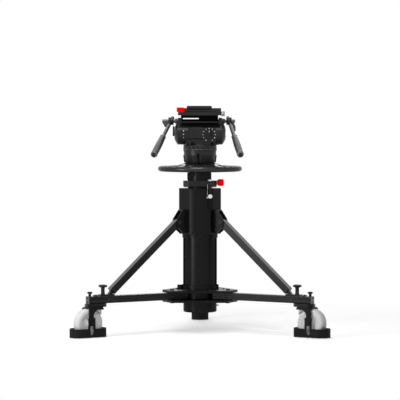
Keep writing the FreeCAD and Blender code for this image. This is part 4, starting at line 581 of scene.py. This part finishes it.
class PEDESTAL_OT_grips(Operator):
    """Sleeves on the pan bars, each a swelling body between a collar and a rolled end with a hollow, and
    the bright tubes above them"""
    bl_idname = "pedestal.grips"
    bl_label = "Grips"

    def execute(self, context):
        sizes = context.scene.pedestal_grip
        film, gap = 0.00002, 0.0001
        bead, bead_end, groove, groove_end, body_start = 0.0006, 0.004, 0.0010, 0.007, 0.012
        slim, slim_share, full_share = 0.0004, 0.62, 0.34
        waist, waist_place, rim_place, roll, hollow = 0.0008, 0.018, 0.006, 0.0015, 0.003
        cuff, step = 0.004, 0.0005
        tail, neck, full, bar = -sizes.length, sizes.neck, sizes.radius, sizes.bar + film
        outside = smooth_rows([
            (bar, tail),
            (neck, tail),
            (neck + bead, tail + bead_end),
            (neck - groove, tail + groove_end),
            (neck, tail + body_start),
            (full - slim, tail * slim_share),
            (full, tail * full_share),
            (full - waist, -waist_place),
            (full, -rim_place),
            (full - roll, 0),
            (sizes.socket, 0),
        ], rounds=5)
        inside = [(sizes.socket, -hollow), (bar, -hollow), (bar, tail)]
        sleeve = np.concatenate([outside, inside])
        first, skin, root = sizes.tube_start, sizes.bar + 3 * film, sizes.bar - step
        for side in HANDS:
            start, end = pivot(f"pan_bar_{side}_hinge"), column_point(*GRIP_ENDS[side])
            build(f"sleeve_{side}", [lathe(sleeve, end, end - start, around=64)], f"arm_{side}",
                  made("sleeve_rubber"), [f"grip_{side}"], crease=50)
            shown = np.linalg.norm(end - start) - sizes.length - gap
            tube = [(root, first), (skin + step, first), (skin + step, first + cuff),
                    (skin, first + cuff + step), (skin, shown), (root, shown), (root, first)]
            build(f"bar_tube_{side}", [lathe(tube, start, end - start, around=64)], f"arm_{side}",
                  made("bar_anodise"))
        return {"FINISHED"}


class PEDESTAL_OT_knobs(Operator):
    """The lobed strut knobs and swivel locks, the red brake knob on its pale stem and the balance knob"""
    bl_idname = "pedestal.knobs"
    bl_label = "Knobs"

    def execute(self, context):
        sizes = context.scene.pedestal_knob
        strut_seat, screw, collar, shank, full = 177.6, 4, 9.5, 8.2, 1000 * sizes.strut_radius
        strut = metres([
            (0, 0), (screw, 0), (screw, 6), (collar, 6), (collar, 8.6), (shank, 11), (shank, 32),
            (shank + 2, 35.2), (full - 3, 36.8), (full, 38.8), (full, 42.4), (full - 1.2, 45),
            (full - 5, 46.8), (full - 11, 47.8), (0, 48),
        ], strut_seat)
        lock_seat, screw, shank, full = 173.5, 3, 6, 1000 * sizes.lock_radius
        lock = metres([
            (0, 0), (screw, 0), (screw, 3.8), (shank, 3.8), (shank, 13.9), (full - 1, 15.1), (full, 16.9),
            (full, 21.1), (full - 1.4, 23.1), (shank - 1, 23.8), (0, 23.8),
        ], lock_seat)
        kinds = (
            ("strut_grip", "strut_knob", strut, 84, sizes.strut_lobes, 0.0022, [8, 9, 10, 11]),
            ("lock_grip", "swivel_lock", lock, 64, 8, 0.0009, [5, 6, 7, 8]),
        )
        for side in SIDES:
            for grip, kind, rows, around, lobes, depth, lobed in kinds:
                node = f"{kind}_{side}"
                place = pivot(f"{node}_turn") * (1, 1, 0)
                grid = lathe(rows, place, UP, around, lobes=lobes, lobe_depth=depth, lobed=lobed)
                build(f"{grip}_{side}", [grid], node, made("moulded_black"), [node])

        brake = pivot("brake_turn") * (0, 1, 1)
        brake_seat, full = 75.2, 1000 * sizes.brake_radius
        knob = metres([(0, 0), (8.5, 0), (11.5, 1), (full, 8.3), (full, 22.3), (full - 1.4, 27), (10, 29.5),
                       (0, 29.9)], brake_seat)
        grid = lathe(knob, brake, RIGHT, around=72, lobes=6, lobe_depth=0.0016, lobed=[3, 4, 5])
        build("brake_grip", [grid], "brake_knob", made("signal_red"), ["brake_knob"])
        stem_seat, screw, wide = 57.8, 5, 8
        stem = metres([(0, 0), (screw, 0), (screw, 8.3), (wide, 8.3), (wide, 16.7), (wide - 0.8, 17.3),
                       (0, 17.3)], stem_seat)
        build("brake_stem", [lathe(stem, brake, RIGHT, around=48)], "brake_knob", made("polished_steel"))

        balance = pivot("balance_turn") * (0, 1, 1)
        balance_seat, screw, collar, full = 82.2, 4, 8, 1000 * sizes.balance_radius
        knob = metres([(0, 0), (screw, 0), (screw, 10.1), (collar, 10.1), (full, 11.5), (full, 23.3),
                       (full - 1.2, 26), (collar - 2, 26.8), (0, 26.8)], balance_seat)
        grid = lathe(knob, balance, RIGHT, around=104, lobes=26, lobe_depth=0.0007, lobed=[4, 5])
        build("balance_grip", [grid], "balance_knob", made("knurled_steel"), ["balance_knob"])
        return {"FINISHED"}


class PEDESTAL_OT_levers(Operator):
    """Levers with rolled edges: the dial's pointer, the pan and tilt locks, the red release lever and the
    clamping levers of the pan bars"""
    bl_idname = "pedestal.levers"
    bl_label = "Levers"

    def execute(self, context):
        edge = 1000 * context.scene.pedestal_knob.edge
        plastic = made("moulded_black")

        dial = pivot("dial_turn")
        dial[1] = COLUMN[1]
        dial_seat, shaft, wide = 33.1, 5, 14
        hub = metres([(0, 0), (shaft, 0), (shaft, 12.2), (wide, 12.2), (wide, 15.9), (wide - 1.2, 17.2),
                      (0, 17.2)], dial_seat)
        tip, waist, reach, shoulder = 4, 8, 21, 10
        pointer = [(-tip, -reach), (tip, -reach), (waist, -shoulder), (waist, shoulder), (tip, reach),
                   (-tip, reach), (-waist, shoulder), (-waist, -shoulder)]
        blade = plate(pointer, 5, 45.8, 58.3, 1.5 * edge, dial, RIGHT, UP)
        build("dial_pointer", [lathe(hub, dial, FRONT, around=64), blade], "counterbalance_dial", plastic,
              ["counterbalance_dial"])
        thin = 0.9
        line = [(-thin, shoulder), (thin, shoulder), (thin, reach - 3), (-thin, reach - 3)]
        build("dial_index", [plate(line, 0.4, 57.8, 58.45, 0.1, dial, RIGHT, UP)], "counterbalance_dial",
              made("mark_paint"))

        tilt = pivot("tilt_lock_turn")
        tilt[0] = 0
        tilt_seat, bore, wide = 112.3, 8.06, 13
        ring = metres([(bore, 0), (wide, 0), (wide, 6.7), (wide - 1.2, 8), (bore, 8), (bore, 0)], tilt_seat)
        handle = [(8.6, -5), (21, -3.8), (31, -4.6), (31, 4.6), (21, 3.8), (8.6, 5)]
        build("tilt_lock_grip", [lathe(ring, tilt, -RIGHT, around=56),
                                 plate(handle, 3.5, 112.6, 119.8, edge, tilt, UP, BACK)],
              "tilt_lock_lever", plastic, ["tilt_lock_lever"])

        pan = pivot("pan_lock_turn")
        pan[1] = COLUMN[1]
        pan_seat, shaft, wide = 46.4, 4, 7
        boss = metres([(0, 0), (shaft, 0), (shaft, 28.9), (wide, 28.9), (wide, 33.9), (wide - 1.2, 34.9),
                       (0, 34.9)], pan_seat)
        handle = [(-3.4, -28), (3.4, -28), (4.2, -21), (3.2, -3), (-3.2, -3), (-4.2, -21)]
        build("pan_lock_grip", [lathe(boss, pan, FRONT, around=48),
                                plate(handle, 2.8, 75.6, 81, edge, pan, RIGHT, UP)],
              "pan_lock_lever", plastic, ["pan_lock_lever"])

        outline = [(-102, -80), (-75, -80), (-70, -74), (-70, -18), (-75, -11.2), (-87, -11.2), (-92, -18),
                   (-92, -55), (-102, -53)]
        slide = plate(outline, 4, 966, 986, 1.2 * edge, COLUMN, RIGHT, BACK)
        pin_seat, pin_radius, pin_length = 958.1, 4, 8.1
        pin = metres([(0, 0), (pin_radius, 0), (pin_radius, pin_length), (0, pin_length)], pin_seat)
        release = pivot("release_lever_turn") * (1, 1, 0)
        build("release_grip", [slide, lathe(pin, release, UP, around=40)], "release_lever",
              made("signal_red"), ["release_lever"])

        face, bore, wide, stud_end, half_thick = 139.3, 5.06, 8, 146.3, 6.3
        ends = {"left": 166, "right": 154}
        blades = {
            "left": [(face, 5.5), (face, -9), (143, -16), (146, -26), (156, -26), (158, -18), (165, -9),
                     (166, 5.5)],
            "right": [(face, 5.5), (face, -11), (144, -21), (147, -46), (155, -46), (157, -40), (156, -21),
                      (150, -11), (149, 5.5)],
        }
        for side, hand in HANDS.items():
            hinge = pivot(f"bar_knob_{side}_turn") * (0, 1, 1)
            end = ends[side]
            outside = metres([(bore, face), (wide, face), (wide, end - 1.4), (wide - 1.2, end), (0, end)])
            inside = metres([(0, stud_end), (bore, stud_end), (bore, face)])
            corners = [(hand * out, high) for out, high in blades[side]][::hand]
            blade = plate(corners, 3, -half_thick, half_thick, edge, hinge, RIGHT, UP)
            barrels = [lathe(rows, hinge, hand * RIGHT, around=48) for rows in (outside, inside)]
            build(f"clamp_lever_{side}", barrels + [blade], f"bar_knob_{side}", made("lever_enamel"),
                  [f"bar_knob_{side}"])
        return {"FINISHED"}


class PEDESTAL_OT_latch(Operator):
    """The transport latch with its strap, hinge barrel and bright knob, the collar's nut, the bead chain,
    the neck's screw and the camera screw"""
    bl_idname = "pedestal.latch"
    bl_label = "Latch"

    def execute(self, context):
        sizes = context.scene.pedestal_latch
        steel = made("polished_steel")
        left, right, bottom, top = 38, 50, 592.2, 656.8
        strap = [(left, bottom), (right, bottom), (right, top), (left, top)]
        bore, wide, bevel = 2.56, 5.7, 0.5
        barrel = metres([(bore, left), (wide - bevel, left), (wide, left + bevel), (wide, right - bevel),
                         (wide - bevel, right), (bore, right), (bore, left)])
        build("latch_strap", [plate(strap, 6, 71, 75, 0.6, COLUMN, RIGHT, UP, steps=9),
                              lathe(barrel, column_point(0, -73, 651), RIGHT, around=40)],
              "transport_latch", made("moulded_black"), ["transport_latch"])

        middle = (left + right) / 2
        knob_seat, foot, full, cup = 74.8, 7, 10.2, 5
        knob = metres([(0, 0), (foot, 0), (foot, 2.7), (full, 4.2), (full, 12), (full - 1.4, 14),
                       (cup + 0.2, 14.4), (cup, 13.2), (0, 13.2)], knob_seat)
        grid = lathe(knob, column_point(middle, 0, 598), FRONT, around=80, lobes=20, lobe_depth=0.0006,
                     lobed=[3, 4])
        build("latch_knob", [grid], "transport_latch", steel)
        nut_seat, full, tip = 56.5, 9.4, 4.2
        nut = metres([(0, 0), (full, 0), (full, 3.3), (tip, 8.7), (0, 9.5)], nut_seat)
        build("collar_nut", [lathe(nut, column_point(middle, 0, 667), FRONT, around=48)], "lift", steel)

        path = np.array([(33, -57, 650), (33, -64, 643), (33, -74, 634), (32, -88.5, 616),
                         (32, -89.5, 592)])
        share = np.linspace(0, len(path) - 1, sizes.beads)
        places = np.stack([np.interp(share, range(len(path)), path[:, axis]) for axis in range(3)], axis=1)
        end_ball = 2.6 * sizes.bead
        beads = [ball(column_point(*place), sizes.bead) for place in places[:-1]]
        build("bead_chain", beads + [ball(column_point(*places[-1]), end_ball)], "lift", steel)

        screw_seat, shaft, full = 33.8, 3, 6.2
        screw = metres([(0, 0), (shaft, 0), (shaft, 3), (full, 4), (full, 9.4), (full - 1.2, 11),
                        (0, 11.2)], screw_seat)
        grid = lathe(screw, column_point(-33, -6, 694), FRONT, around=60, lobes=15, lobe_depth=0.0005,
                     lobed=[3, 4])
        build("neck_screw", [grid], "lift", made("moulded_black"))
        thread_seat, full = 978.1, 4.7
        thread = metres([(0, 0), (full, 0), (full, 11.8), (full - 0.6, 12.6), (0, 12.6)], thread_seat)
        build("camera_screw", [lathe(thread, column_point(-3, 0, 0), UP, around=40)], "camera_plate",
              made("screw_steel"))
        return {"FINISHED"}


class PEDESTAL_OT_screws(Operator):
    """Cap screws on every body that shows them"""
    bl_idname = "pedestal.screws"
    bl_label = "Screws"

    def execute(self, context):
        sizes = context.scene.pedestal_screw
        small, large = (sizes.small, sizes.proud), (sizes.large, 0.003)
        shell, fine, stop = (0.0033, 0.0016), (sizes.small * 0.9, sizes.proud), (0.0048, 0.004)
        hinge, clamp, kingpin = (0.0082, 0.0033), (0.005, 0.0014), (0.0055, 0.0022)
        heads = {"base": [], "lift": [], "tilt_head": [], "leg_left": [], "leg_right": [], "pan_head": []}

        def add(body, place, axis, head):
            heads[body].append(socket_screw(place, axis, *head))

        # Rings round the column: body, count, first angle, radius, height, head and whether it is upright
        rings = (
            ("base", 3, -90, 77.9, 422.5, small, False),
            ("base", 6, -90, 73.3, 93, shell, False),
            ("base", 6, -65, 104, 187.2, large, True),
            ("lift", 6, -72, 49.9, 673, fine, False),
            ("lift", 4, 45, 82, 731.5, large, True),
        )
        for body, count, first, radius, height, head, upright in rings:
            for angle in np.radians(first + 360 * np.arange(count) / count):
                outward = np.array((math.cos(angle), math.sin(angle), 0))
                place = COLUMN + (radius * outward + height * UP) / 1000
                add(body, place, UP if upright else outward, head)
        add("base", column_point(-91.25, -7.9, 196.3), FRONT, stop)

        cheek, pin_out, pin_height, bracket_out = 20.2, 114, 484, 91
        leg_side, foot_out, foot_height, leg_end, mount_out, mount_top = 15.1, 461, 161, 555.9, 517, 180.9
        for side in SIDES:
            ahead = heading(side)
            left = np.array((-ahead[1], ahead[0], 0))
            leg = "base" if side == "rear" else f"leg_{side}"
            for hand in (-1, 1):
                away = left * hand
                add("base", leg_point(side, pin_out, cheek * hand, pin_height), away, hinge)
                for z in (450, 526):
                    add("base", leg_point(side, bracket_out, cheek * hand, z), away, small)
                add(leg, leg_point(side, foot_out, leg_side * hand, foot_height), away, clamp)
            for z in (152, 170):
                add(leg, leg_point(side, leg_end, 0, z), ahead, small)
            add(leg, leg_point(side, mount_out, 0, mount_top), UP, kingpin)

        yoke_out, yoke_front, axle_height, circle = 90, -31.9, 873, 19
        for hand in (-1, 1):
            for z in (907, 928):
                add("tilt_head", column_point(yoke_out * hand, yoke_front, z), FRONT, small)
        for angle in np.radians((45, 135, 225, 315)):
            place = column_point(111.9, circle * math.cos(angle), axle_height + circle * math.sin(angle))
            add("tilt_head", place, RIGHT, small)
        for x in (-66, 60):
            add("tilt_head", column_point(x, -79.9, 968), FRONT, small)
        for x in (-46, 62):
            add("pan_head", column_point(x, -44.9, 895), FRONT, small)
        for body, grids in heads.items():
            build(f"screws_{body}", grids, body, made("screw_steel"))
        return {"FINISHED"}


class PEDESTAL_OT_trim(Operator):
    """The sleeve round the dolly's hub, the feet of the head housing, the dark strip on the bowl, the
    platform's dark joint lines, and near-black pieces that paint the shade under the platform"""
    bl_idname = "pedestal.trim"
    bl_label = "Trim"

    def execute(self, context):
        black = made("painted_shade_and_joint_black")

        def block(left, right, near, far, low, high, edge=0.3, corner=2.0):
            """A slab with its sides and heights in millimetres from the column's axis on the floor."""
            outline = [(left, near), (right, near), (right, far), (left, far)]
            return plate(outline, corner, low, high, edge, COLUMN, RIGHT, BACK)

        low, high, deep = 821.6, 833.4, 30
        ends = ((-61.9, -54), (54, 81.8))
        feet = [block(left, right, -deep, deep, low, high, 1.5, 4) for left, right in ends]
        build("housing_feet", feet, "pan_head", made("casting_paint"))

        left, right, deep, under = -81.5, 79.3, 80.3, 934.8
        # Near-black pieces. The first four are painted shade. They stand in for the shade round the
        # platform's waist, in the slit, at its left end and over the cross plate's front. The last is a
        # dark joint line on the platform's front.
        shade_and_joint_pieces = [
            block(left - 1.8, right, -deep, deep, 939.8, 951.3),
            block(-5.3, right, -deep, deep, 935.2, 941.4),
            block(left, left + 6, -32, 32, under, 941.4, 0.2, 0.5),
            block(left, -left, -32.4, -31, 925.5, under, 0.2, 0.5),
            block(-66, 66, -deep - 0.05, -79, 965.8, 968.4, 0.1, 0.3),
        ]
        build("platform_shade_and_joints", shade_and_joint_pieces, "tilt_head", black)
        gasket = block(-52, 46, -76.4, -75, 976.2, 980.6, 0.1, 0.3)
        build("plate_gasket", [gasket], "camera_plate", black)

        narrow, wide, right, bottom, top = -8.8, -12.2, -4.4, 746.5, 783.5
        strip = [(narrow, bottom), (right, bottom), (right, top), (wide, top), (wide, top - 15.5),
                 (narrow, top - 21.5)]
        build("bowl_strip", [plate(strip, 0.8, 66, 74.8, 0.2, COLUMN, RIGHT, UP)], "lift", black)

        low, high, inner, outer = 145.2, 177.1, 50.2, 64
        edge = (high - low) / 16
        sleeve = metres([(inner, low), (outer - edge, low), (outer, low + edge), (outer, high - edge),
                         (outer - edge, high), (inner, high), (inner, low)])
        build("hub_sleeve", [lathe(sleeve, COLUMN, UP, around=96)], "base", made("housing_anodise"))
        return {"FINISHED"}


class PEDESTAL_OT_marks(Operator):
    """White dots round the dial and on the tilt ring, and ticks round the pan ring"""
    bl_idname = "pedestal.marks"
    bl_label = "Dial marks"

    def execute(self, context):
        sizes = context.scene.pedestal_mark
        white = made("mark_paint")
        flat, lowest, proud = 0.045, 0.8405, 0.0003
        centre = pivot("dial_turn")
        face = np.array((centre[0], COLUMN[1] - flat, centre[2]))
        angles = np.linspace(0, 2 * math.pi, sizes.dial_dots, endpoint=False)
        places = face + sizes.dial_ring * np.stack([np.sin(angles), 0 * angles, np.cos(angles)], axis=1)
        dots = [dome(place, FRONT, sizes.dot, proud) for place in places if place[2] > lowest]
        build("dial_dots", dots, "pan_head", white)

        sunk = 0.0001
        tilt = pivot("tilt_drag_turn")
        dots = []
        for height in (0.884, 0.868, 0.854):
            rise = height - tilt[2]
            depth = math.sqrt(sizes.tilt_radius ** 2 - rise ** 2)
            outward = np.array((0, -depth, rise)) / sizes.tilt_radius
            place = tilt + outward * (sizes.tilt_radius - sunk)
            dots.append(dome(place, outward, sizes.dot * 1.1, proud + sunk))
        build("tilt_dots", dots, "tilt_drag_ring", white)

        half, long, short, first = 0.7, 3.6, 2.2, 0.087
        ring_inside, ring_outside = 73.3, 73.75
        place = column_point(0, 0, 802.5)
        ticks = []
        for index, angle in enumerate(np.linspace(0, 2 * math.pi, sizes.ticks, endpoint=False) + first):
            along = np.array((-math.sin(angle), math.cos(angle), 0))
            tall = short if index % 2 else long
            outline = [(-half, -tall), (half, -tall), (half, tall), (-half, tall)]
            ticks.append(plate(outline, 0.3, ring_inside, ring_outside, 0.1, place, along, UP, steps=3))
        build("pan_ticks", ticks, "pan_drag_ring", made("tick_paint"))
        return {"FINISHED"}


class PEDESTAL_OT_studio(Operator):
    """Camera at the photograph's place, a pale floor that keeps a soft shadow, and studio lights"""
    bl_idname = "pedestal.studio"
    bl_label = "Studio"

    def execute(self, context):
        sizes = context.scene.pedestal_studio
        make_camera(context, sizes)
        make_floor(context)
        make_world(context, sizes.ambient)
        # Place from the column's foot, width and height, and power of each softbox
        lamps = {
            "top_light": ((-0.2, -0.6, 3.0), (1.0, 0.8), sizes.top),
            "side_light": ((-2.35, -1.9, 1.0), (0.9, 2.2), sizes.strip),
            "front_light": ((-0.4, -2.3, 3.1), (1.0, 0.4), sizes.front),
            "back_light": ((0.1, 3.4, 2.55), (1.6, 0.6), sizes.back),
        }
        for name, (place, size, power) in lamps.items():
            make_lamp(context, name, COLUMN + np.array(place), COLUMN + sizes.aim * UP, size, power)
        context.scene.view_settings.view_transform = "Standard"
        return {"FINISHED"}


def make_camera(context, sizes):
    """The camera on the operator's side, looking slightly down."""
    data = bpy.data.cameras.new("camera")
    data.lens = sizes.lens
    data.sensor_width = 36
    camera = bpy.data.objects.new("camera", data)
    camera.location = Vector(COLUMN) + Vector((0, -sizes.distance, sizes.height))
    camera.rotation_euler = (math.radians(90 - sizes.dip), 0, 0)
    context.scene.collection.objects.link(camera)
    context.scene.camera = camera


def make_lamp(context, name, place, target, size, power):
    """A rectangular softbox at a place, facing a target."""
    data = bpy.data.lights.new(name, "AREA")
    data.shape = "RECTANGLE"
    data.size, data.size_y = size
    data.energy = power
    lamp = bpy.data.objects.new(name, data)
    lamp.location = Vector(place)
    lamp.rotation_euler = (Vector(target) - Vector(place)).to_track_quat("-Z", "Y").to_euler()
    context.scene.collection.objects.link(lamp)


def seen_ray(tree):
    """The share of rays that see the background: camera, glossy and transmission rays."""
    rays = add_node(tree, "LightPath")
    first = add_node(tree, "Math", {}, {0: (rays, "Is Camera Ray"), 1: (rays, "Is Glossy Ray")},
                     operation="MAXIMUM")
    return add_node(tree, "Math", {}, {0: (first, 0), 1: (rays, "Is Transmission Ray")},
                    operation="MAXIMUM")


def make_world(context, ambient):
    """White where it is seen, and a plain level of light from all round."""
    world = bpy.data.worlds.new("studio_air")
    context.scene.world = world
    world.use_nodes = True
    tree = world.node_tree
    strength = add_node(tree, "MapRange", {"To Min": ambient, "To Max": 1}, {"Value": (seen_ray(tree), 0)})
    feed(tree, tree.nodes["Background"], {"Color": WHITE}, {"Strength": (strength, "Result")})


def make_floor(context):
    """A round floor, z = 0, that is white where it is seen and keeps the shadow near the object: the lit
    floor under a half-white veil fades into plain white with the distance."""
    radius, corners, tone, veil_share, fade_start, fade_end = 14, 96, 0.88, 0.5, 0.7, 1.7
    mesh = bpy.data.meshes.new("floor")
    angle = np.linspace(0, 2 * math.pi, corners, endpoint=False)
    rim = radius * np.stack([np.cos(angle), np.sin(angle), np.zeros(corners)], axis=1)
    mesh.from_pydata(rim.tolist(), [], [list(range(corners))])
    floor = bpy.data.objects.new("floor", mesh)
    context.scene.collection.objects.link(floor)
    material = bpy.data.materials.new("studio_floor")
    material.use_nodes = True
    tree = material.node_tree
    tree.nodes.clear()
    seen = seen_ray(tree)
    lit = add_node(tree, "BsdfDiffuse", {"Color": (tone, tone, tone, 1)})
    halfway = add_node(tree, "MapRange", {"To Max": veil_share}, {"Value": (seen, 0)})
    veil = add_node(tree, "Emission", {"Color": WHITE}, {"Strength": (halfway, "Result")})
    near = add_node(tree, "AddShader", {}, {0: (lit, "BSDF"), 1: (veil, "Emission")})
    plain = add_node(tree, "Emission", {"Color": WHITE})
    place = add_node(tree, "TexCoord")
    reach = add_node(tree, "VectorMath", {}, {0: (place, "Object")}, operation="LENGTH")
    fade = add_node(tree, "MapRange", {"From Min": fade_start, "From Max": fade_end},
                    {"Value": (reach, "Value")}, interpolation_type="SMOOTHSTEP")
    share = add_node(tree, "Math", {}, {0: (seen, 0), 1: (fade, "Result")}, operation="MULTIPLY")
    mix = add_node(tree, "MixShader", {}, {"Fac": (share, 0), 1: (near, "Shader"), 2: (plain, "Emission")})
    add_node(tree, "OutputMaterial", {}, {"Surface": (mix, "Shader")})
    mesh.materials.append(material)


class PEDESTAL_PT_sidebar(Panel):
    """The pedestal's pieces, sizes and colours"""
    bl_idname = "PEDESTAL_PT_sidebar"
    bl_label = "Camera pedestal"
    bl_space_type = "VIEW_3D"
    bl_region_type = "UI"
    bl_category = "Pedestal"

    def draw(self, context):
        for name, group in SETTINGS.items():
            box = self.layout.box()
            settings = getattr(context.scene, name)
            for field in group.__annotations__:
                box.prop(settings, field)
        for step in STEPS:
            self.layout.operator(step.bl_idname)


SETTINGS = {
    "pedestal_finish": FinishSettings,
    "pedestal_wheel": WheelSettings,
    "pedestal_fender": FenderSettings,
    "pedestal_grip": GripSettings,
    "pedestal_knob": KnobSettings,
    "pedestal_latch": LatchSettings,
    "pedestal_screw": ScrewSettings,
    "pedestal_mark": MarkSettings,
    "pedestal_studio": StudioSettings,
}
STEPS = (
    PEDESTAL_OT_finishes,
    PEDESTAL_OT_wheels,
    PEDESTAL_OT_fenders,
    PEDESTAL_OT_grips,
    PEDESTAL_OT_knobs,
    PEDESTAL_OT_levers,
    PEDESTAL_OT_latch,
    PEDESTAL_OT_screws,
    PEDESTAL_OT_trim,
    PEDESTAL_OT_marks,
    PEDESTAL_OT_studio,
)


def register():
    for group in (*SETTINGS.values(), *STEPS, PEDESTAL_PT_sidebar):
        bpy.utils.register_class(group)
    for name, group in SETTINGS.items():
        setattr(bpy.types.Scene, name, PointerProperty(type=group))


def unregister():
    for name in SETTINGS:
        delattr(bpy.types.Scene, name)
    for group in reversed((*SETTINGS.values(), *STEPS, PEDESTAL_PT_sidebar)):
        bpy.utils.unregister_class(group)


def main():
    register()
    bpy.ops.pedestal.finishes()
    bpy.ops.pedestal.wheels()
    bpy.ops.pedestal.fenders()
    bpy.ops.pedestal.grips()
    bpy.ops.pedestal.knobs()
    bpy.ops.pedestal.levers()
    bpy.ops.pedestal.latch()
    bpy.ops.pedestal.screws()
    bpy.ops.pedestal.trim()
    bpy.ops.pedestal.marks()
    bpy.ops.pedestal.studio()


if __name__ == "__main__":
    main()
